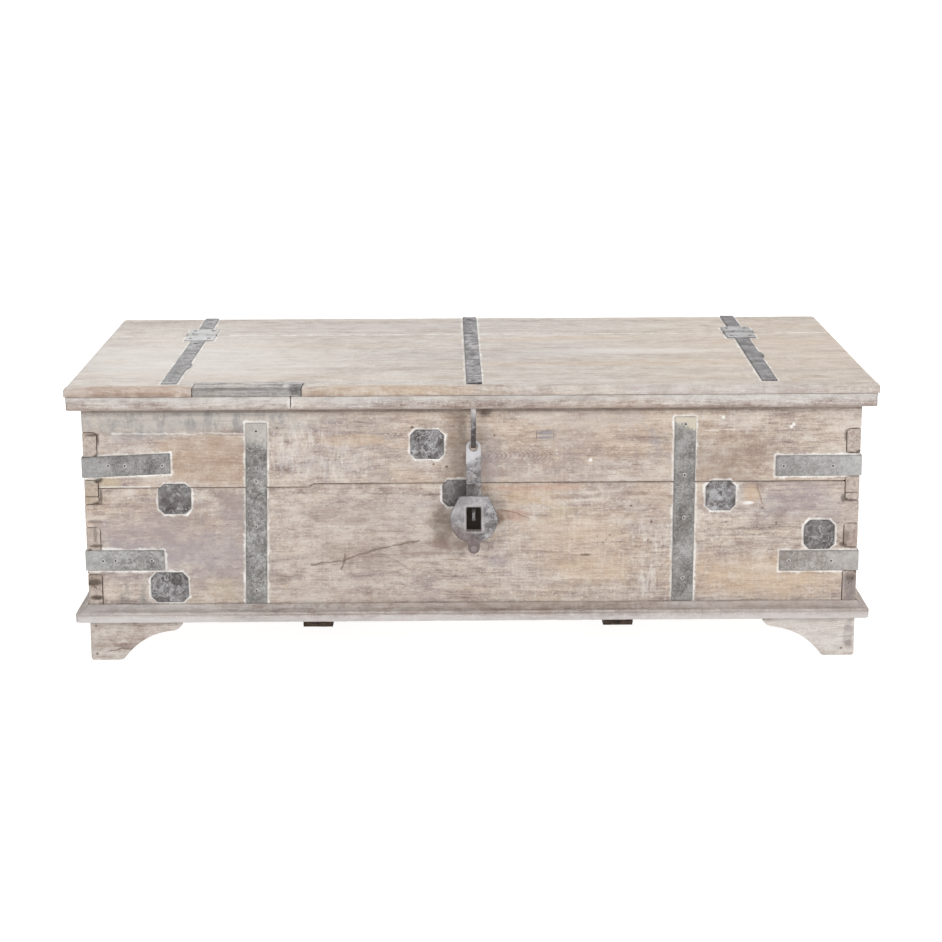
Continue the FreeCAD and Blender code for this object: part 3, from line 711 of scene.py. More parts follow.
    def crack(self, plane, points, width, strength=0.7, color=CRACK):
        mask = self.line(plane, points, width)
        self.tint(mask, strength, color)
        self.height += mask * -1.0

    def knots(self, plane, spots, radius):
        """Small dark pits at the given places, each a little different."""
        rag = self.noise(self.position(), 120.0, 3.0, 0.7)
        for index, spot in enumerate(spots):
            away = self.vector("LENGTH", self.vector("SUBTRACT", self.flat(plane), (*spot, 0.0)))
            away += (rag - 0.5) * (radius * 1.6)
            size = radius * (0.7 + 0.45 * math.sin(2.7 * index) ** 2)
            mask = self.step(away, size, size * 0.35)
            self.tint(mask, 0.8, PIT)
            self.height += mask * -0.4

    def arches(self, plane, tip, spacing, count, color, strength):
        """Nested curves of growth rings that point along the grain, as where a knot was near."""
        offset = self.vector("SUBTRACT", self.flat(plane), (*tip, 0.0))
        u, v, _ = self.split(offset)
        reach = u + v * v * 110.0 + self.rag * 0.016
        wave = self.math("SINE", reach * (2 * math.pi / spacing))
        lines = self.step(wave, 0.2, 1.0) * self.step(self.mottle, 0.58, 0.44)
        size = spacing * count
        near = self.step(abs(u + size * 0.5), size * 0.62, size * 0.3)
        near *= self.step(abs(v), size * 0.28, size * 0.12)
        self.tint(lines * near, strength, color)

    def lime_round(self, plane, irons):
        """Pale lime left in the angle beside the iron pieces, with a dark line against them."""
        coordinates = self.split(self.position())
        reaches = []
        for centre, half, cut, lean, tilt in irons:
            u, v = (coordinates[axis] for axis in plane)
            if lean:
                u += (v - centre[1]) * -lean
            if tilt:
                v += (u - centre[0]) * -tilt
            reaches.append(self.box_distance(u, v, centre, half, cut))
        near = self.least(reaches)
        rag = self.noise(self.position(), 55.0, 6.0, 0.75)
        width = self.span(rag, 0.40, 0.60, 2.5 * MM, 7.5 * MM)
        edge = self.math("SUBTRACT", 1.0, self.math("DIVIDE", near, width), clamp=True)
        amount = self.span(self.noise(self.position(), 26.0, 4.0, 0.7), 0.40, 0.60, 0.45, 1.0)
        self.tint(self.step(edge, 0.0, 0.7) * amount, 0.95, (0.80, 0.78, 0.75))
        self.fade(near, 1.3 * MM, 0.2 * MM, 0.4, (0.14, 0.12, 0.11))

    def make(self, depth=1.0 * MM):
        roughness = self.span(self.streak, 0.35, 0.65, 0.92, 0.74)
        self.finish(self.color, roughness, bump=self.height, depth=depth, specular=0.2)
        return self.material


# ---- Which boards get which wood --------------------------------------------------
def solid_boxes(node):
    """The lowest and highest corners of each separate solid of a node."""
    boxes = []
    for part in loose_parts(node):
        places = vertex_array(part, "co")
        boxes.append((places.min(axis=0), places.max(axis=0)))
        bpy.data.meshes.remove(part)
    return boxes


def iron_shapes(node, plane, cut=0.0, width=None, lean=0.0, tilt=0.0):
    """Centre, half sizes, corner cut, lean and tilt of an iron's solids, along the third axis."""
    shapes = []
    for low, high in solid_boxes(node):
        centre = [float(low[axis] + high[axis]) / 2 for axis in plane]
        half = [float(high[axis] - low[axis]) / 2 for axis in plane]
        if width is not None:
            half[0] = width / 2
        shapes.append((centre, half, cut, lean, tilt))
    return shapes


def named(*starts):
    return [node for node in sorted(frame["nodes"]) if node.startswith(starts)]


PATCH_PLATES = named("patch_plate")
CORNER_STRAPS = named("corner_strap_")
TOP_STRAPS = named("hinge_leaf", "centre_strap")
WIDE_STRAP = 35 * MM
NARROW_STRAP = 26 * MM
HINGE_HEAD = 54 * MM
CUT_CORNER = 9.5 * MM
STRAP_LEAN = {"front_strap_left": 0.0224, "front_strap_right": 0.0031}
STRAP_TILT = {"corner_strap_left_upper": 0.042}      # it drops towards the corner
HINGE_Y = frame["record"]["behaviour"]["joints"][0]["pos_m"][1]
HINGE_LEAN = {"left": 0.0079, "right": 0.0113}
CENTRE_LEAN = -0.0067
BUTT_JOINT = span_of("lid_rim_front_left", X)[1]      # where the front lips meet
HASP_SLOT = (0.002, 0.2515)


def hinge_x(side):
    return sum(span_of("hinge_leaf_rear_" + side, X)) / 2


def front_irons():
    shapes = []
    for node in PATCH_PLATES:
        shapes += iron_shapes(node, FRONT, cut=CUT_CORNER)
    for node in CORNER_STRAPS:
        shapes += iron_shapes(node, FRONT, tilt=STRAP_TILT.get(node, 0.0))
    for node, lean in STRAP_LEAN.items():
        shapes += iron_shapes(node, FRONT, width=WIDE_STRAP, lean=lean)
    return shapes


def top_irons():
    shapes = []
    for side, lean in HINGE_LEAN.items():
        middle = hinge_x(side)
        back = span_of("hinge_leaf_rear_" + side, Y)[1]
        front = span_of("hinge_leaf_front_" + side, Y)[0]
        reach = (HINGE_Y - front) / 2
        centre = (middle - lean * reach, HINGE_Y - reach)
        shapes.append((centre, (NARROW_STRAP / 2, reach), 0.0, lean, 0.0))
        shapes.append(((middle, HINGE_Y), (HINGE_HEAD / 2, HINGE_HEAD), 0.0, 0.0, 0.0))
        reach = (back - HINGE_Y) / 2
        shapes.append(((middle, HINGE_Y + reach), (NARROW_STRAP / 2, reach), 0.0, 0.0, 0.0))
    shapes += iron_shapes("centre_strap_front", TOP, width=NARROW_STRAP, lean=CENTRE_LEAN)
    shapes += iron_shapes("centre_strap_rear", TOP, width=NARROW_STRAP)
    return shapes


def case_wood(node, grain, seed, **looks):
    return Wood("limed_" + node, grain, seed, CASE_TONES, **looks)


# Dirt in the corners of the fingers: where, its half sizes and its strength.
LEFT_DIRT = (
    ((-0.633, 0.3940), (0.010, 0.0024), 0.75), ((-0.6245, 0.3870), (0.0024, 0.009), 0.75),
    ((-0.6245, 0.3580), (0.003, 0.005), 0.8), ((-0.6255, 0.3170), (0.007, 0.005), 0.95),
    ((-0.6225, 0.2880), (0.0024, 0.014), 0.7), ((-0.630, 0.2755), (0.010, 0.0024), 0.7),
    ((-0.633, 0.2450), (0.012, 0.003), 0.55), ((-0.635, 0.2220), (0.003, 0.014), 0.5),
    ((-0.634, 0.2025), (0.011, 0.003), 0.8), ((-0.641, 0.1385), (0.013, 0.006), 0.9),
    ((-0.637, 0.1115), (0.011, 0.004), 0.95),
)
RIGHT_DIRT = (
    ((0.6245, 0.3870), (0.0024, 0.010), 0.6), ((0.632, 0.3560), (0.008, 0.003), 0.7),
    ((0.6235, 0.2790), (0.004, 0.007), 0.7), ((0.634, 0.2745), (0.010, 0.0024), 0.6),
    ((0.6245, 0.1980), (0.006, 0.004), 0.75), ((0.640, 0.1400), (0.010, 0.007), 0.6),
    ((0.640, 0.1250), (0.012, 0.024), 0.40), ((0.630, 0.2120), (0.006, 0.013), 0.45),
    ((0.6455, 0.3560), (0.003, 0.005), 0.8),
)


def dirty_fingers(wood, rows):
    for centre, half, strength in rows:
        wood.stain(FRONT, centre, half, DIRT, strength, 0.25, 0.5)


def front_upper_wood(node, seed):
    """The upper front board: smeared lime at its left end, a tan field, arched grain, and painted
    shadows of the hasp and of the lip.
    """
    wood = case_wood(node, X, seed, lime=0.42, blotch=0.5, dirt=0.5)
    wood.mark_face(Y, -1)
    wood.stain(FRONT, (-0.50, 0.420), (0.21, 0.026), GREEN_GRAY, 0.60, 0.8)
    wood.stain(FRONT, (-0.47, 0.425), (0.20, 0.024), LIME, 0.28, 0.9)
    wood.smears(FRONT, (-0.49, 0.418), (0.19, 0.024), (0.225, 0.215, 0.225), 0.70, 60.0)
    wood.stains(FRONT, (
        ((-0.462, 0.429), (0.030, 0.004), (0.18, 0.17, 0.16), 0.6),
        ((-0.58, 0.391), (0.022, 0.008), LILAC, 0.5, 0.8),
        ((-0.44, 0.35), (0.09, 0.044), (0.385, 0.275, 0.20), 0.66, 0.6),
        ((-0.61, 0.31), (0.018, 0.020), OCHRE, 0.6, 0.6),
    ))
    wood.smears(FRONT, (-0.26, 0.36), (0.09, 0.05), WHITE_LIME, 0.38, 150.0)
    wood.smears(FRONT, (-0.22, 0.34), (0.10, 0.04), LILAC, 0.34, 110.0)
    wood.stains(FRONT, (
        ((-0.195, 0.383), (0.05, 0.010), TAN, 0.5, 0.8),
        # Painted shadow of the hasp bar, left of it.
        ((-0.027, 0.37), (0.020, 0.065), (0.21, 0.155, 0.12), 0.75, 0.6),
        # Painted shadow of the hasp bar, right of it, darkest here.
        ((0.027, 0.33), (0.012, 0.018), (0.36, 0.235, 0.19), 0.6, 0.6),
        # Painted shadow of the hasp, left of the top of its plate.
        ((-0.045, 0.31), (0.018, 0.02), BROWN, 0.5, 0.7),
        # Paler painted shadow of the hasp bar, right of it.
        ((0.030, 0.34), (0.017, 0.055), LILAC, 0.55, 0.6),
        # Painted shadow beside the top of the lid staple, under the lip.
        ((0.023, 0.432), (0.010, 0.010), (0.10, 0.08, 0.075), 0.8, 0.5),
        ((0.11, 0.335), (0.08, 0.022), LILAC, 0.35),
    ))
    wood.arches(FRONT, (0.160, 0.355), 0.0075, 20, BROWN, 0.7)
    wood.stain(FRONT, (0.43, 0.345), (0.085, 0.045), (0.26, 0.185, 0.145), 0.65, 0.8)
    # A thin dark line just under the lip: painted shadow of the lip's overhang.
    wood.stain(FRONT, (0.0, 0.434), (0.70, 0.0035), (0.14, 0.105, 0.085), 0.6, 0.15, 0.4)
    wood.smears(FRONT, (0.295, 0.375), (0.02, 0.045), LILAC, 0.55, 60.0)
    wood.stain(FRONT, (0.20, 0.415), (0.13, 0.012), LIME, 0.4)
    for x, z in ((0.198, 0.347), (0.419, 0.419), (0.533, 0.402), (0.537, 0.406)):
        wood.stain(FRONT, (x, z), (0.0028, 0.0028), WHITE_LIME, 0.9, 0.1, 0.5)
    wood.tint(wood.line(FRONT, ((-0.60, 0.397), (-0.38, 0.396)), 2.6 * MM), 0.6, WHITE_LIME)
    seam_lime = wood.line(FRONT, ((-0.63, 0.3045), (-0.54, 0.3045)), 4 * MM, 3 * MM)
    wood.tint(seam_lime, 0.7, WHITE_LIME)
    wood.tint(wood.line(FRONT, ((0.39, 0.396), (0.44, 0.399)), 2.0 * MM, 4 * MM), 0.7, WHITE_LIME)
    holes = ((-0.325, 0.405), (-0.065, 0.341), (-0.043, 0.337), (-0.10, 0.405), (0.037, 0.390))
    wood.knots(FRONT, holes, 3.0 * MM)
    wood.stains(FRONT, (
        ((0.122, 0.394), (0.013, 0.004), (0.22, 0.205, 0.225), 0.9, 0.4),
        ((0.121, 0.386), (0.014, 0.003), (0.22, 0.205, 0.225), 0.9, 0.4),
        ((0.287, 0.385), (0.03, 0.003), BROWN, 0.6, 0.5),
    ))
    wood.crack(FRONT, ((0.030, 0.3070), (0.33, 0.3070)), 3.6 * MM, 0.7, (0.30, 0.16, 0.11))
    dirty_fingers(wood, LEFT_DIRT + RIGHT_DIRT)
    wood.lime_round(FRONT, front_irons())
    return wood.make()


def front_lower_wood(node, seed):
    """The lower front board: a branching crack, knots, painted shade behind the hasp's slot and
    painted shadows below and left of the hasp plate.
    """
    wood = case_wood(node, X, seed, lime=0.40, blotch=0.45, dirt=0.55)
    wood.mark_face(Y, -1)
    wood.stains(FRONT, (
        ((-0.405, 0.262), (0.030, 0.036), LILAC, 0.70, 0.9),
        ((-0.405, 0.280), (0.025, 0.014), BROWN, 0.5, 0.9),
        ((-0.545, 0.220), (0.08, 0.034), LILAC, 0.75, 0.9),
        ((-0.45, 0.22), (0.11, 0.07), (0.29, 0.235, 0.22), 0.46, 0.7),
        ((-0.48, 0.19), (0.13, 0.020), LILAC, 0.60, 0.9),
        ((-0.42, 0.16), (0.08, 0.05), LILAC, 0.45, 0.9),
    ))
    wood.smears(FRONT, (-0.570, 0.120), (0.035, 0.022), (0.20, 0.20, 0.19), 0.7, 60.0)
    wood.stains(FRONT, (
        ((-0.42, 0.125), (0.03, 0.02), OCHRE, 0.35),
        ((-0.20, 0.255), (0.09, 0.016), BROWN, 0.32),
        ((-0.19, 0.20), (0.17, 0.09), (0.33, 0.275, 0.25), 0.30, 0.6),
        # Painted shadow of the hasp plate's tab.
        ((-0.07, 0.196), (0.055, 0.012), BROWN, 0.42, 0.8),
        # Painted shadow left of the hasp plate.
        ((-0.055, 0.240), (0.020, 0.034), (0.205, 0.16, 0.125), 0.75, 0.6),
        # Painted shadow below the hasp plate, on its left.
        ((-0.040, 0.204), (0.028, 0.010), BROWN, 0.65, 0.7),
        ((0.07, 0.252), (0.034, 0.010), (0.40, 0.24, 0.17), 0.5, 1.0),
    ))
    rusty = ((0.045, 0.262), (0.075, 0.256), (0.095, 0.246))
    wood.crack(FRONT, rusty, 1.8 * MM, 0.6, (0.30, 0.14, 0.09))
    wood.stains(FRONT, (
        ((0.10, 0.30), (0.09, 0.006), (0.46, 0.29, 0.205), 0.5, 0.8),
        ((0.043, 0.245), (0.009, 0.011), (0.16, 0.10, 0.075), 0.8, 0.8),
        ((0.155, 0.256), (0.022, 0.014), OCHRE, 0.5),
        ((0.10, 0.283), (0.045, 0.012), TAN, 0.5),
        ((0.046, 0.168), (0.022, 0.010), LILAC, 0.6),
        ((0.20, 0.132), (0.16, 0.007), BROWN, 0.42, 0.7),
        ((0.305, 0.130), (0.018, 0.009), BROWN, 0.5, 0.7),
    ))
    wood.smears(FRONT, (0.30, 0.18), (0.03, 0.07), WHITE_LIME, 0.5, 50.0)
    wood.stains(FRONT, (
        ((0.47, 0.285), (0.014, 0.016), TAN, 0.7, 0.5),
        ((0.55, 0.272), (0.07, 0.028), LILAC, 0.55),
        ((0.52, 0.248), (0.012, 0.012), BROWN, 0.55),
        ((0.46, 0.198), (0.06, 0.008), BROWN, 0.40),
        ((0.48, 0.145), (0.13, 0.035), (0.56, 0.42, 0.29), 0.55, 0.7),
        ((0.20, 0.160), (0.07, 0.025), (0.56, 0.43, 0.31), 0.45, 0.8),
        ((0.15, 0.220), (0.09, 0.030), (0.55, 0.44, 0.33), 0.35, 0.9),
        ((0.464, 0.271), (0.009, 0.003), WHITE_LIME, 0.9, 0.4),
        ((0.62, 0.20), (0.012, 0.012), BROWN, 0.55),
    ))
    long_crack = ((-0.272, 0.168), (-0.226, 0.173), (-0.166, 0.192), (-0.091, 0.209))
    wood.crack(FRONT, long_crack, 3.6 * MM, 0.8)
    wood.crack(FRONT, ((-0.215, 0.185), (-0.217, 0.173), (-0.222, 0.160)), 3.4 * MM, 0.8)
    wood.stains(FRONT, (
        ((-0.17, 0.188), (0.11, 0.018), BROWN, 0.42, 0.9),
        ((0.175, 0.284), (0.05, 0.004), BROWN, 0.55, 0.8),
        ((0.278, 0.289), (0.024, 0.004), BROWN, 0.65, 0.8),
    ))
    wood.crack(FRONT, ((0.478, 0.300), (0.487, 0.270)), 1.8 * MM, 0.6, (0.33, 0.19, 0.12))
    wood.stain(FRONT, (-0.075, 0.186), (0.04, 0.003), BROWN, 0.6, 0.5)
    wood.peppered(FRONT, (0.235, 0.211), (0.036, 0.018), (0.15, 0.11, 0.09), 0.7)
    wood.peppered(FRONT, (0.28, 0.24), (0.05, 0.04), BROWN, 0.5)
    pits = (
        (0.042, 0.240), (0.296, 0.207), (0.267, 0.267), (0.301, 0.239), (0.512, 0.236),
        (0.488, 0.262))
    wood.knots(FRONT, pits, 2.8 * MM)
    wood.stain(FRONT, (0.191, 0.182), (0.009, 0.0022), (0.14, 0.10, 0.08), 0.8, 0.3)
    # Near-black painted shade on the board behind the hasp plate's slot.
    wood.tint(wood.socket_shadow(FRONT, HASP_SLOT, (0.0145, 0.023)), 0.97, SOOT)
    dirty_fingers(wood, LEFT_DIRT + RIGHT_DIRT)
    wood.lime_round(FRONT, front_irons())
    return wood.make()


def side_wood(node, seed):
    wood = case_wood(node, Y, seed, lime=0.5, blotch=0.45, dirt=0.6, end_tones=FINGER_TONES)
    wood.mark_face(Y, -1)
    if node.startswith("left"):
        wood.stains(FRONT, (
            ((-0.64, 0.300), (0.02, 0.024), (0.36, 0.27, 0.18), 0.5),
            ((-0.64, 0.325), (0.02, 0.016), GREEN_GRAY, 0.4),
            ((-0.64, 0.142), (0.03, 0.014), BROWN, 0.7),
        ))
        wood.peppered(FRONT, (-0.638, 0.212), (0.016, 0.024), SOOT, 0.8)
        wood.peppered(FRONT, (-0.638, 0.142), (0.016, 0.018), SOOT, 0.9)
        corners = (
            (-0.629, 0.396), (-0.629, 0.358), (-0.629, 0.314), (-0.629, 0.276), (-0.645, 0.194))
        wood.knots(FRONT, corners, 4.5 * MM)
        dirty_fingers(wood, LEFT_DIRT)
    else:
        wood.stain(FRONT, (0.64, 0.207), (0.02, 0.018), BROWN, 0.5)
        wood.stain(FRONT, (0.64, 0.124), (0.02, 0.024), LILAC, 0.8)
        wood.peppered(FRONT, (0.644, 0.378), (0.008, 0.024), SOOT, 0.7)
        wood.peppered(FRONT, (0.642, 0.138), (0.014, 0.016), SOOT, 0.9)
        corners = ((0.629, 0.396), (0.648, 0.360), (0.629, 0.276), (0.630, 0.196), (0.648, 0.150))
        wood.knots(FRONT, corners, 4 * MM)
        dirty_fingers(wood, RIGHT_DIRT)
    wood.mark_face(X, -1 if node.startswith("left") else 1)
    shapes = []
    for strap in CORNER_STRAPS:
        if node.split("_")[0] in strap:
            low, high = span_of(strap, X)
            drop = STRAP_TILT.get(strap, 0.0) * (high - low) / 2
            for centre, *rest in iron_shapes(strap, SIDE):
                shapes.append(((centre[0], centre[1] - drop), *rest))
    wood.lime_round(SIDE, shapes)
    return wood.make()


def back_wood(node, seed):
    wood = case_wood(node, X, seed, lime=0.45, blotch=0.5, dirt=0.4)
    wood.mark_face(Y, 1)
    wood.lime_round(FRONT, iron_shapes("corner_straps_back", FRONT))
    return wood.make()


def top_wood(node, seed):
    """The top boards are the palest, with lime left in the seams and round the irons."""
    wood = Wood("limed_" + node, X, seed, TOP_TONES, lime=0.45, blotch=0.22, dirt=0.20)
    wood.mark_face(Z, 1)
    wood.stains(TOP, (
        ((0.55, -0.05), (0.28, 0.34), TAN, 0.26, 0.3, 0.8),
        ((-0.10, 0.24), (0.30, 0.05), LILAC, 0.22, 0.6, 0.8),
        ((-0.52, -0.08), (0.22, 0.20), WHITE_LIME, 0.42, 0.5, 0.8),
    ))
    bands = (
        ((0.15, 0.10), (0.20, 0.014), TAN, 0.40), ((0.28, -0.02), (0.16, 0.022), WHITE_LIME, 0.50),
        ((0.22, -0.13), (0.26, 0.016), TAN, 0.42), ((0.56, 0.06), (0.12, 0.025), TAN, 0.30),
        ((-0.26, 0.04), (0.16, 0.014), TAN, 0.32), ((-0.15, -0.17), (0.24, 0.014), BROWN, 0.18),
        ((0.0, 0.285), (0.55, 0.010), BROWN, 0.24), ((0.50, -0.20), (0.16, 0.016), LILAC, 0.30),
        ((-0.20, -0.24), (0.30, 0.012), TAN, 0.30), ((-0.05, 0.18), (0.35, 0.010), BROWN, 0.18),
    )
    for centre, half, color, strength in bands:
        wood.stain(TOP, centre, half, color, strength, 0.7, 0.6)
    wood.stain(TOP, (0.10, -0.05), (0.25, 0.05), LILAC, 0.22, 0.7, 0.8)
    wood.stain(TOP, (-0.60, 0.29), (0.09, 0.02), BROWN, 0.22, 0.8)
    wood.tint(wood.line(TOP, ((-0.675, HINGE_Y), (0.675, HINGE_Y)), 8 * MM), 0.8, WHITE_LIME)
    wood.stain(TOP, (0.449, 0.229), (0.012, 0.007), BROWN, 0.6)
    wood.crack(TOP, ((-0.44, 0.146), (-0.385, 0.145)), 2.5 * MM, 0.7)
    wood.crack(TOP, ((-0.675, 0.146), (-0.635, 0.146)), 2.5 * MM, 0.6)
    wood.crack(TOP, ((0.535, -0.093), (0.675, -0.0935)), 2.6 * MM, 0.6)
    wood.lime_round(TOP, top_irons())
    return wood.make()


def edge_wood(node, grain, seed, tones, lime=0.4):
    return Wood("limed_" + node, grain, seed, tones, lime=lime, blotch=0.5, dirt=0.6)


def nosing_wood(node, seed):
    """Bare tan wood shows on the nosing at its left end and beside the let-in patch."""
    wood = edge_wood(node, X, seed, NOSING_TONES)
    wood.stain(TOP, (-0.56, -0.32), (0.11, 0.02), (0.40, 0.275, 0.21), 0.6, 0.7)
    wood.stain(TOP, (-0.13, -0.32), (0.15, 0.02), (0.48, 0.345, 0.225), 0.6, 0.8)
    wood.stain(FRONT, (-0.57, 0.466), (0.10, 0.005), BROWN, 0.6, 0.8)
    wood.stain(FRONT, (0.00, 0.464), (0.60, 0.003), BROWN, 0.5, 0.9)
    wood.stain(TOP, (0.40, -0.32), (0.34, 0.02), LIME, 0.4, 0.9)
    wood.smears(TOP, (0.0, -0.322), (0.70, 0.012), BROWN, 0.35, 14.0)
    return wood.make()


def lip_wood(node, grain, seed):
    """The lips are whitish in the middle and brown along the lower edge."""
    wood = edge_wood(node, grain, seed, LIP_TONES)
    low, high = span_of(node, Z)
    level = wood.split(wood.position())[Z] + wood.rag * 0.012
    wood.fade(level, low + 7 * MM, low + 1 * MM, 0.55, BROWN)
    wood.fade(level, low + 8 * MM, high - 4 * MM, 0.40, (0.56, 0.55, 0.53))
    wood.stain(FRONT, (BUTT_JOINT, 0.451), (0.005, 0.010), WHITE_LIME, 0.7, 0.8)
    return wood.make()


def base_wood(node, grain, seed):
    """The base moulding is tan along its upper slope and lime grey below."""
    wood = edge_wood(node, grain, seed, BASE_TONES)
    height = wood.split(wood.position())[Z]
    low, high = span_of(node, Z)
    level = height + wood.rag * 0.010
    upper = wood.step(level, high - 13 * MM, high - 6 * MM)
    warm = wood.noise(wood.position(), along(grain, 3.0, 12.0), 3.0)
    warm = wood.span(warm, 0.35, 0.65, 0.15, 0.75)
    wood.tint(upper * warm, 0.62, (0.32, 0.245, 0.20))
    wood.fade(level, high - 11 * MM, low + 5 * MM, 0.60, (0.52, 0.495, 0.49))
    between = abs(height - (low + 14 * MM)) + wood.rag * 0.006
    wood.fade(between, 2.4 * MM, 0.4 * MM, 0.5, (0.19, 0.13, 0.11))
    wood.stain(FRONT, (-0.58, 0.085), (0.17, 0.08), (0.57, 0.56, 0.56), 0.38, 0.3)
    wood.stain(FRONT, (0.52, 0.085), (0.20, 0.08), (0.58, 0.53, 0.50), 0.26, 0.3)
    return wood.make()


def foot_wood(node, grain, seed):
    wood = edge_wood(node, grain, seed, FOOT_TONES, lime=0.6)
    level = wood.split(wood.position())[Z] + wood.rag * 0.01
    top = span_of(node, Z)[1]
    # A dark band along the top: painted shadow of the base moulding above.
    wood.fade(level, top - 9 * MM, top - 1 * MM, 0.68, (0.19, 0.135, 0.11))
    wood.stain(FRONT, (-0.590, 0.026), (0.020, 0.005), (0.16, 0.11, 0.10), 0.7, 0.8)
    wood.crack(FRONT, ((-0.622, 0.017), (-0.600, 0.020), (-0.572, 0.017)), 4 * MM, 0.85)
    wood.stain(FRONT, (-0.59, 0.04), (0.10, 0.040), BROWN, 0.35, 0.9)
    wood.stain(FRONT, (0.57, 0.04), (0.09, 0.04), WHITE_LIME, 0.35, 0.4)
    wood.knots(FRONT, ((-0.640, 0.012), (-0.640, 0.062), (0.628, 0.014)), 3 * MM)
    wood.stain(FRONT, (0.640, 0.035), (0.008, 0.022), (0.20, 0.16, 0.16), 0.7, 0.8)
    return wood.make()


def raw_wood(node, grain, seed):
    return Wood("raw_" + node, grain, seed, RAW_TONES, lime=0.1, blotch=0.3, dirt=0.6).make()


def dark_wood(node, grain, seed):
    return Wood("raw_" + node, grain, seed, DARK_TONES, lime=0.0, blotch=0.15, dirt=0.8).make()


def edge_patch_wood(node, seed):
    """A let-in strip of much greyer wood, darkest along its front arris and its right end."""
    wood = Wood("weathered_" + node, X, seed, GRAY_TONES, lime=0.2, blotch=0.4, dirt=0.9)
    low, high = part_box(node)
    arris = wood.zone(SIDE, (low[Y], high[Z]), (7 * MM, 4 * MM), 0.5)
    wood.tint(arris, 0.65, (0.085, 0.075, 0.072))
    depth = wood.split(wood.position())[Y]
    wood.fade(depth, low[Y] + 3 * MM, low[Y] + 1 * MM, 0.50, (0.20, 0.19, 0.185))
    dark_end = (high[X] - 10 * MM, low[Y] + 14 * MM)
    wood.stain(TOP, dark_end, (9 * MM, 20 * MM), (0.06, 0.05, 0.05), 0.75)
    wood.stain(TOP, (high[X] - 26 * MM, low[Y] + 20 * MM), (5 * MM, 16 * MM), WHITE_LIME, 0.6)
    return wood.make(1.8 * MM)


# Voxel sizes: large boards are coarser than the small pieces with shaped edges.
BOARD, FINGERED, PLANK, ROUGH = 2.2 * MM, 1.9 * MM, 2.8 * MM, 5.0 * MM
FOOT, MOULDING, NOSING, PATCH, PLUG = 2.0 * MM, 1.7 * MM, 1.5 * MM, 1.3 * MM, 0.8 * MM
GRAIN_STRETCH = 1.8      # a board's squares are this much longer along its grain


class Board(NamedTuple):
    """How one node is meshed, worn and finished."""

    node: str
    grain: int
    voxel: float
    wood: object
    edge_wear: float = 1.0
    joint_axis: object = None
    rounds: int = 0
    seams: tuple = ()

    def make(self, seed):
        mesh = even_copy(self.node, self.voxel, along(self.grain, GRAIN_STRETCH))
        if self.node == "front_plug":
            drive_tight(mesh)
        if self.rounds:
            round_edges(mesh, self.rounds, self.seams)
        wear_wood(mesh, self.grain, seed, self.edge_wear, self.joint_axis)
        place_piece(mesh, self.node, self.wood(self.node, seed))


def drive_tight(mesh):
    """Lets the plug fill its pocket and lie flush, so that only its tone shows it."""
    low, high = (Vector(corner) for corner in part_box("front_plug"))
    middle = (low + high) / 2
    mesh.transform(Matrix.Translation(-middle))
    mesh.transform(Matrix.Diagonal((1.10, 1.0, 1.14, 1)))
    mesh.transform(Matrix.Translation(middle + Vector((0, 0.2 * MM, 0))))


def with_grain(maker, grain):
    """A wood maker for boards that run along the grain axis."""
    return lambda node, seed: maker(node, grain, seed)


def board_list():
    """Every wooden piece. A board's place in the list sets its seed."""
    boards = [
        Board("front_board_upper", X, BOARD, front_upper_wood, 0.25, Z),
        Board("front_board_lower", X, BOARD, front_lower_wood, 0.25, Z),
        Board("back_board_lower", X, PLANK, back_wood, 0.35, Z),
        Board("back_board_upper", X, PLANK, back_wood, 0.35, Z),
    ]
    for side in ("left", "right"):
        for level in ("lower", "upper"):
            boards.append(Board(side + "_board_" + level, Y, FINGERED, side_wood, 0.25, Z))
    for node in ("top_plank_back", "lid_plank_rear", "lid_plank_front"):
        boards.append(Board(node, X, PLANK, top_wood, 0.6, Y))
    boards.append(Board("floor_planks", X, ROUGH, with_grain(raw_wood, X)))
    boards.append(Board("lid_battens", Y, PLANK, with_grain(raw_wood, Y)))
    boards.append(Board("floor_battens", Y, PLANK, with_grain(dark_wood, Y)))
    boards.append(Board("foot_blocks", Z, PLANK, with_grain(dark_wood, Z)))
    under = [(Z, span_of("lid_nosing", Z)[0])]
    patch_seams = [(X, end) for end in span_of("lid_edge_patch", X)] + under
    nosing_seams = [(Y, span_of("lid_nosing", Y)[1])] + patch_seams
    boards.append(Board("lid_nosing", X, NOSING, nosing_wood, 0.7, None, 5, nosing_seams))
    boards.append(Board("lid_edge_patch", X, PATCH, edge_patch_wood, 0.5, None, 1, patch_seams))
    boards.append(Board("front_plug", X, PLUG, front_upper_wood, 0.0, Z))
    butt = [(X, BUTT_JOINT)]
    for node in ("lid_rim_front_left", "lid_rim_front_right", "top_rim_back"):
        lip = with_grain(lip_wood, X)
        boards.append(Board(node, X, MOULDING, lip, 0.7, Z, 4, butt + under))
    for node in ("lid_rim_left", "lid_rim_right", "top_rim_back_left", "top_rim_back_right"):
        boards.append(Board(node, Y, MOULDING, with_grain(lip_wood, Y), 0.7, Z, 4, under))
    for side, grain in (("front", X), ("back", X), ("left", Y), ("right", Y)):
        boards.append(Board(
            "base_moulding_" + side, grain, MOULDING, with_grain(base_wood, grain), 0.9, None, 3))
    for end in ("front", "back"):
        for side in ("left", "right"):
            node = "foot_" + end + "_" + side
            boards.append(Board(node, X, FOOT, with_grain(foot_wood, X), 0.9, None, 2))
    boards.append(Board("foot_returns", Y, FOOT, with_grain(foot_wood, Y), 0.9, None, 2))
    return boards


def make_boards():
    for index, board in enumerate(board_list()):
        like_first = board.node == "front_plug"      # the plug's grain runs on from its board's
        board.make(1 if like_first else 1 + 7 * index)


# ---- Iron -----------------------------------------------------------------------
FLAT_SEED, HASP_SEED, SEED_STEP = 301, 501, 5
PLAIN_RIM = 0.55      # the rim layer of a nail head that is limed all over


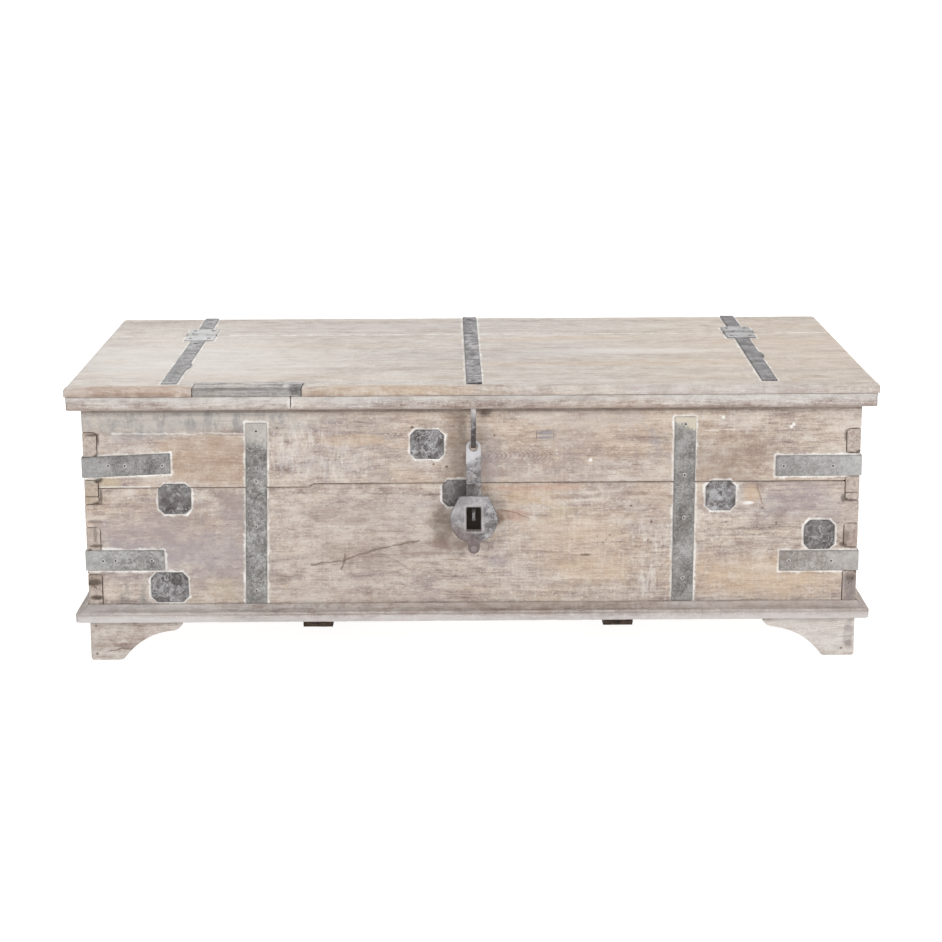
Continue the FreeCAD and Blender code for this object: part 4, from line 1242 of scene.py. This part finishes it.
def hammer(mesh, seed, depth, size):
    """Hammer blows leave shallow dishes with ridges between them, and an uneven outline."""
    places = vertex_array(mesh, "co")
    normals = vertex_array(mesh, "normal")
    away, chance = dimples(places, size, seed)
    wander = smooth_noise(places, (1.6 * size,) * 3, seed + 7)
    small = smooth_noise(places, (0.3 * size,) * 3, seed + 8)
    push = depth * (0.9 * away ** 2 + 0.55 * wander + 0.18 * small - 0.55)
    # The edge layer marks a piece's edges, where its paint puts painted shade.
    edge = np.clip(spread(mesh, 1 - np.abs(normals).max(axis=1), 3) * 6, 0, 1)
    add_layer(mesh, "edge", edge)
    add_layer(mesh, "facet", chance)
    add_layer(mesh, "ridge", np.clip(away, 0, 1))
    move_vertices(mesh, places + normals * np.clip(push, -2 * depth, 0.7 * depth)[:, None])


class Iron(Shader):
    """Old forged iron with lime in its pits: speckled on straps, faceted on plates."""

    def __init__(self, name, seed, tones, speckle=1.0, facets=0.3, lime=0.4):
        super().__init__(name)
        place = self.vector("ADD", self.position(), (0.41 * seed, 0.29 * seed, 0.83 * seed))
        self.mottle = self.noise(place, 85.0, 7.0, 0.78)
        patches = self.noise(place, 38.0, 2.0, 0.6)
        grit = self.noise(place, 270.0, 4.0, 0.8)
        facet = self.attribute("facet") - 0.5
        tone = self.mottle * 0.5 + patches * 0.5 + facet * (0.08 * facets)
        self.color = self.ramp(tone, (
            (0.38, tones[0]), (0.47, tones[1]), (0.54, tones[2]), (0.64, tones[3])))
        pale = (0.50, 0.50, 0.51)
        self.fade(grit, 0.52, 0.62, 0.42 * speckle, (0.56, 0.55, 0.52))
        self.fade(grit, 0.48, 0.38, 0.6 * speckle, (0.045, 0.042, 0.04))
        crease = self.attribute("ridge") + (self.mottle - 0.5) * 1.2
        self.fade(crease, 0.58, 0.80, 0.25 * facets, pale)
        # Folds drawn as a dark line beside a pale one: painted shade and painted highlight, with
        # no fold in the mesh.
        fold = self.noise(place, 42.0, 2.5, 0.6) - 0.5
        self.fade(abs(fold), 0.024, 0.004, 0.55 * facets, (0.055, 0.047, 0.048))
        self.fade(abs(fold - 0.04), 0.022, 0.004, 0.45 * facets, pale)
        self.fade(self.noise(place, 26.0, 6.0, 0.75), 0.55, 0.68, 0.38, (0.17, 0.12, 0.10))
        self.fade(self.noise(place, 22.0, 6.0, 0.75), 0.53, 0.63, lime, (0.52, 0.51, 0.50))
        # Darker along the edges of every piece: painted shade.
        rim = self.attribute("edge") * self.span(self.mottle, 0.4, 0.6, 0.9, 0.35)
        self.tint(rim, 0.62, (0.055, 0.05, 0.048))
        self.metallic = self.span(tone, 0.3, 0.7, 0.30, 0.05)
        self.grit = grit

    def whitewash(self, centre, half, strength):
        """Lime over a rectangle, seen from above, flaked at random."""
        x, y, _ = self.split(self.position())
        reach = self.box_distance(x, y, centre, half) + self.mottle * (6 * MM)
        washed = self.step(reach, 6 * MM, 1 * MM)
        flaked = washed * self.step(self.mottle, 0.36, 0.46)
        self.tint(flaked, strength, (0.66, 0.66, 0.655))
        self.metallic = self.metallic * (1 - flaked)

    def make(self, depth=0.9 * MM):
        roughness = self.span(self.mottle, 0.3, 0.7, 0.50, 0.82)
        height = self.mottle * 0.8 + self.grit * 0.45
        self.finish(self.color, roughness, self.metallic, bump=height, depth=depth, specular=0.4)
        return self.material


STRAP_TONES = (
    (0.10, 0.094, 0.088), (0.18, 0.173, 0.163), (0.25, 0.242, 0.232), (0.34, 0.332, 0.32))
PLATE_TONES = (
    (0.07, 0.06, 0.06), (0.125, 0.112, 0.113), (0.19, 0.18, 0.184), (0.36, 0.355, 0.365))
TOP_IRON_TONES = (
    (0.06, 0.055, 0.057), (0.135, 0.125, 0.128), (0.23, 0.22, 0.225), (0.44, 0.43, 0.44))
CORNER_TONES = (
    (0.12, 0.112, 0.107), (0.215, 0.205, 0.197), (0.30, 0.29, 0.282), (0.41, 0.40, 0.39))
HASP_TONES = ((0.06, 0.05, 0.05), (0.135, 0.122, 0.122), (0.22, 0.205, 0.21), (0.38, 0.365, 0.375))


# How strongly each corner strap is toned, and with what.
CORNER_SHADES = {
    "corner_strap_left_upper": (0.30, (0.11, 0.106, 0.10)),
    "corner_strap_left_lower": (0.10, (0.30, 0.293, 0.285)),
    "corner_strap_right_upper": (0.28, (0.46, 0.45, 0.435)),
    "corner_strap_right_lower": (0.26, (0.36, 0.29, 0.25)),
}

# The plates that are darker than the rest, and how strongly: the one behind the hasp by painted
# shade, the others by their own tone.
TONED_AND_SHADED_PLATES = {
    # Painted shade from the hasp plate in front of it.
    "patch_plate_behind_hasp": 0.55,
    "patch_plate_left_upper": 0.22,
    "patch_plate_right_lower": 0.20,
}


def front_strap_iron(node, seed):
    """The straps on the front are paler at their heads, where lime was brushed over them."""
    paint = Iron("iron_" + node, seed, STRAP_TONES)
    across, _, height = paint.split(paint.position())
    left, _ = span_of(node, X)
    _, top = span_of(node, Z)
    level = height + paint.mottle * (40 * MM)
    if node == "front_strap_left":
        paint.fade(level, top - 26 * MM, top - 2 * MM, 0.62, (0.54, 0.50, 0.46))
        paint.fade(level, top - 240 * MM, top - 300 * MM, 0.16, (0.46, 0.45, 0.44))
    else:
        paint.fade(level, top - 25 * MM, top + 18 * MM, 0.45, (0.50, 0.48, 0.45))
        paint.tint(1.0, 0.20, (0.12, 0.107, 0.10))
        start = top + 0.5 * left + 12 * MM
        paint.fade(level + across * 0.5, start, start + 4 * MM, 0.75, (0.60, 0.54, 0.43))
    return paint.make()


def corner_strap_iron(node, seed):
    """The front's corner straps are limed near the corner of the case."""
    paint = Iron("iron_" + node, seed, CORNER_TONES)
    if node not in CORNER_STRAPS:
        return paint.make()
    side = -1 if "_left_" in node else 1
    out = paint.split(paint.position())[X] * side + paint.mottle * (60 * MM)
    corner = max(map(abs, span_of(node, X)))
    paint.fade(out, corner - 40 * MM, corner + 30 * MM, 0.45, (0.50, 0.50, 0.49))
    paint.tint(1.0, *CORNER_SHADES[node])
    if node == "corner_strap_right_upper":
        paint.fade(out, corner - 50 * MM, corner - 120 * MM, 0.30, (0.11, 0.106, 0.10))
    return paint.make()


def plate_iron(node, seed):
    paint = Iron("iron_" + node, seed, PLATE_TONES, speckle=0.25, facets=1.0, lime=0.2)
    paint.tint(1.0, TONED_AND_SHADED_PLATES.get(node, 0.0), (0.10, 0.085, 0.075))
    return paint.make()


def top_iron():
    """One material for all the irons on the top: paler on the left, limed at the hinges."""
    paint = Iron("iron_top", 29, TOP_IRON_TONES, speckle=0.5, facets=0.8, lime=0.30)
    across, depth, _ = paint.split(paint.position())
    paint.fade(across, -0.1, -0.3, 0.25, (0.50, 0.50, 0.50))
    paint.fade(across, 0.0, 0.4, 0.42, (0.10, 0.092, 0.095))
    for side, strength in (("left", 0.9), ("right", 0.5)):
        paint.whitewash((hinge_x(side), HINGE_Y), (HINGE_HEAD / 2, HINGE_HEAD), strength)
    slot = paint.box_distance(across, depth, (-0.509, 0.151), (11 * MM, 2 * MM))
    paint.fade(slot, 3 * MM, 0.5 * MM, 0.9, (0.03, 0.03, 0.03))
    return paint.make()


def tilt_mesh(mesh, node):
    """Turns a level strap slightly, by raising it along X about its middle."""
    slope = STRAP_TILT[node]
    shear = Matrix.Identity(4)
    shear[2][0] = slope
    shear[2][3] = -slope * sum(span_of(node, X)) / 2
    mesh.transform(shear)


def forge(node, seed, voxel, stretch, depth, size, material, rounds=0):
    """One iron piece. The depth and size of the hammer blows are in millimetres."""
    mesh = even_copy(node, voxel * MM, stretch)
    if node in STRAP_TILT:
        tilt_mesh(mesh, node)
    if rounds:
        round_edges(mesh, rounds)
    hammer(mesh, seed, depth * MM, size * MM)
    place_piece(mesh, node, material(node, seed))


def make_flat_irons():
    """Straps, plates and pins: fine through their thickness, wider in their plane."""
    top = top_iron()      # one material that all the top's irons share
    flat_front, flat_top, bent = (2.0, 1.0, 2.0), (2.0, 2.0, 1.0), (1.0, 1.0, 2.2)
    kinds = (
        (list(STRAP_LEAN), 0.65, flat_front, 0.30, 14, front_strap_iron),
        (CORNER_STRAPS + ["corner_straps_back"], 0.8, bent, 0.30, 14, corner_strap_iron),
        (PATCH_PLATES, 0.6, flat_front, 0.8, 10, plate_iron),
        (TOP_STRAPS, 0.7, flat_top, 0.45, 13, lambda node, seed: top),
        (["hinge_pins"], 0.6, (1.5, 1.0, 1.0), 0.1, 4, lambda node, seed: top),
    )
    seed = FLAT_SEED
    for nodes, *looks in kinds:
        for node in nodes:
            forge(node, seed, *looks)
            seed += SEED_STEP


def hasp_iron(node, seed):
    """The hasp is pale at its eye, grey along the bar and purplish brown low on the plate."""
    paint = Iron("iron_" + node, seed, HASP_TONES, speckle=0.35, facets=0.8, lime=0.3)
    across, _, height = paint.split(paint.position())
    low, high = span_of(node, Z)
    level = height + paint.mottle * (14 * MM)
    slant = level + across * -0.5
    if node == "hasp_bar":
        paint.fade(slant, high - 30 * MM, high - 24 * MM, 0.75, (0.56, 0.55, 0.565))
    elif node == "lid_staple":
        # Paler at the top: a painted highlight.
        paint.fade(level, high - 30 * MM, high, 0.7, (0.52, 0.50, 0.47))
        paint.fade(level, low + 34 * MM, low + 18 * MM, 0.85, (0.04, 0.034, 0.03))
    elif node == "hasp_plate":
        paint.fade(slant, high - 34 * MM, high - 6 * MM, 0.4, (0.47, 0.45, 0.47))
        reach = paint.box_distance(across, height, HASP_SLOT, (12 * MM, 20.5 * MM))
        ragged = reach + paint.mottle * (16 * MM)
        paint.fade(ragged, 14 * MM, 10 * MM, 0.50, (0.48, 0.445, 0.45))
        streaks = paint.noise(paint.position(), (140.0, 60.0, 55.0), 5.0, 0.7)
        low_left = paint.step(slant + across * 1.2, 0.243, 0.215)
        paint.tint(low_left, 0.70, (0.19, 0.14, 0.135))
        paint.tint(low_left * paint.step(streaks, 0.46, 0.58), 0.6, (0.09, 0.065, 0.06))
        # Painted shade on the plate's left edges.
        shaded_left_edge = paint.attribute("edge") * paint.step(across, 0.0, -0.02)
        paint.tint(shaded_left_edge, 0.9, (0.05, 0.042, 0.042))
        paint.fade(height, 0.214, 0.206, 0.65, (0.12, 0.092, 0.088))
        hole = paint.box_distance(across, height, (0.002, 0.200), (1 * MM, 1 * MM))
        paint.fade(hole, 4.5 * MM, 3 * MM, 0.45, (0.32, 0.28, 0.275))
        # Painted shade round and inside the slot.
        paint.fade(reach, 2.5 * MM, 0.5 * MM, 0.5, (0.10, 0.085, 0.08))
    return paint.make()


def make_hasp():
    for index, node in enumerate(("hasp_bar", "hasp_plate", "lid_staple", "keeper_staple")):
        seed = HASP_SEED + SEED_STEP * index
        forge(node, seed, 0.85, (1.0, 1.0, 1.0), 0.5, 12, hasp_iron, rounds=2)


def nail_head(mesh, place, outward, radius, height, seed, plain):
    """A hand-made nail head: a low uneven dome of three rings, and a stub of shank behind it.

    Its rim layer runs from 0 at the crown to 1 at the rim, or stays in between if it's plain.
    """
    rim = mesh.verts.layers.float["rim"]
    side = outward.orthogonal().normalized()
    other = outward.cross(side)
    count = 12
    rings = []
    profile = ((0.35, -1.6), (0.35, -0.2), (1.0, -0.05), (0.94, 0.45), (0.55, 0.85))
    for ring, (reach, level) in enumerate(profile):
        verts = []
        for i in range(count):
            angle = 2 * math.pi * i / count
            uneven = 1 + 0.16 * math.sin(2 * angle + seed)
            uneven += 0.08 * math.sin(5 * angle + 2.3 * seed)
            out = radius * reach * (uneven if ring > 1 else 1)
            point = place + side * math.cos(angle) * out + other * math.sin(angle) * out
            vert = mesh.verts.new(point + outward * level * height)
            vert[rim] = PLAIN_RIM if plain else (reach if ring > 1 else 1.0)
            verts.append(vert)
        rings.append(verts)
    for low, high in zip(rings, rings[1:]):
        for i in range(count):
            j = (i + 1) % count
            mesh.faces.new((low[i], low[j], high[j], high[i]))
    crown = mesh.verts.new(place + outward * height)
    crown[rim] = PLAIN_RIM if plain else 0.0
    base = mesh.verts.new(place + outward * profile[0][1] * height)
    for i in range(count):
        j = (i + 1) % count
        mesh.faces.new((rings[-1][i], rings[-1][j], crown))
        mesh.faces.new((rings[0][j], rings[0][i], base))


def nail_paint():
    """Dark in the middle of the head and pale round the rim."""
    paint = Shader("iron_nails")
    rim = paint.attribute("rim")
    mottle = paint.noise(paint.position(), 320.0, 4.0, 0.7)
    rim += (mottle - 0.5) * 0.5
    color = paint.ramp(rim, (
        (0.20, (0.025, 0.022, 0.02)), (0.38, (0.10, 0.095, 0.09)),
        (0.58, (0.24, 0.23, 0.22)), (0.78, (0.60, 0.59, 0.57))))
    paint.finish(color, 0.6, 0.15, bump=mottle, depth=0.4 * MM, specular=0.4)
    return paint.material


PLATE_BOXES = [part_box(node) for node in PATCH_PLATES]


def is_plain(place):
    """Nails in the patch plates and on the top are limed over, so no dark centre shows."""
    over_plate = any(
        low[X] < place[X] < high[X] and low[Z] < place[Z] < high[Z] for low, high in PLATE_BOXES)
    return over_plate or place[Z] > span_of("front_board_upper", Z)[1]


def make_nails(node, paint):
    """One uneven head for each nail of the CAD group, where the CAD nail's head is."""
    heads = bmesh.new()
    heads.verts.layers.float.new("rim")
    for index, part in enumerate(loose_parts(node)):
        places = vertex_array(part, "co")
        low, high = places.min(axis=0), places.max(axis=0)
        axis = int(np.argmax(high - low))
        middle = Vector((low + high) / 2)
        sign = 1 if middle[axis] > 0 else -1
        outward = Vector([float(sign) if i == axis else 0.0 for i in range(3)])
        tip = high[axis] if sign > 0 else low[axis]
        others = [i for i in range(3) if i != axis]
        radius = float((high - low)[others].max()) / 2
        height = radius * 0.4
        seat = middle.copy()
        seat[axis] = float(tip) - sign * height
        nail_head(heads, seat, outward, radius, height, index * 1.7, is_plain(middle))
        bpy.data.meshes.remove(part)
    bmesh.ops.recalc_face_normals(heads, faces=heads.faces)
    mesh = bpy.data.meshes.new(node + "_worn")
    heads.to_mesh(mesh)
    heads.free()
    place_piece(mesh, node, paint)


# ---- Build ----------------------------------------------------------------------
make_camera()
make_stage()
make_boards()
make_flat_irons()
make_hasp()
nail_iron = nail_paint()
make_nails("case_nails", nail_iron)
make_nails("lid_nails", nail_iron)


def write_sizes():
    import json


write_sizes()
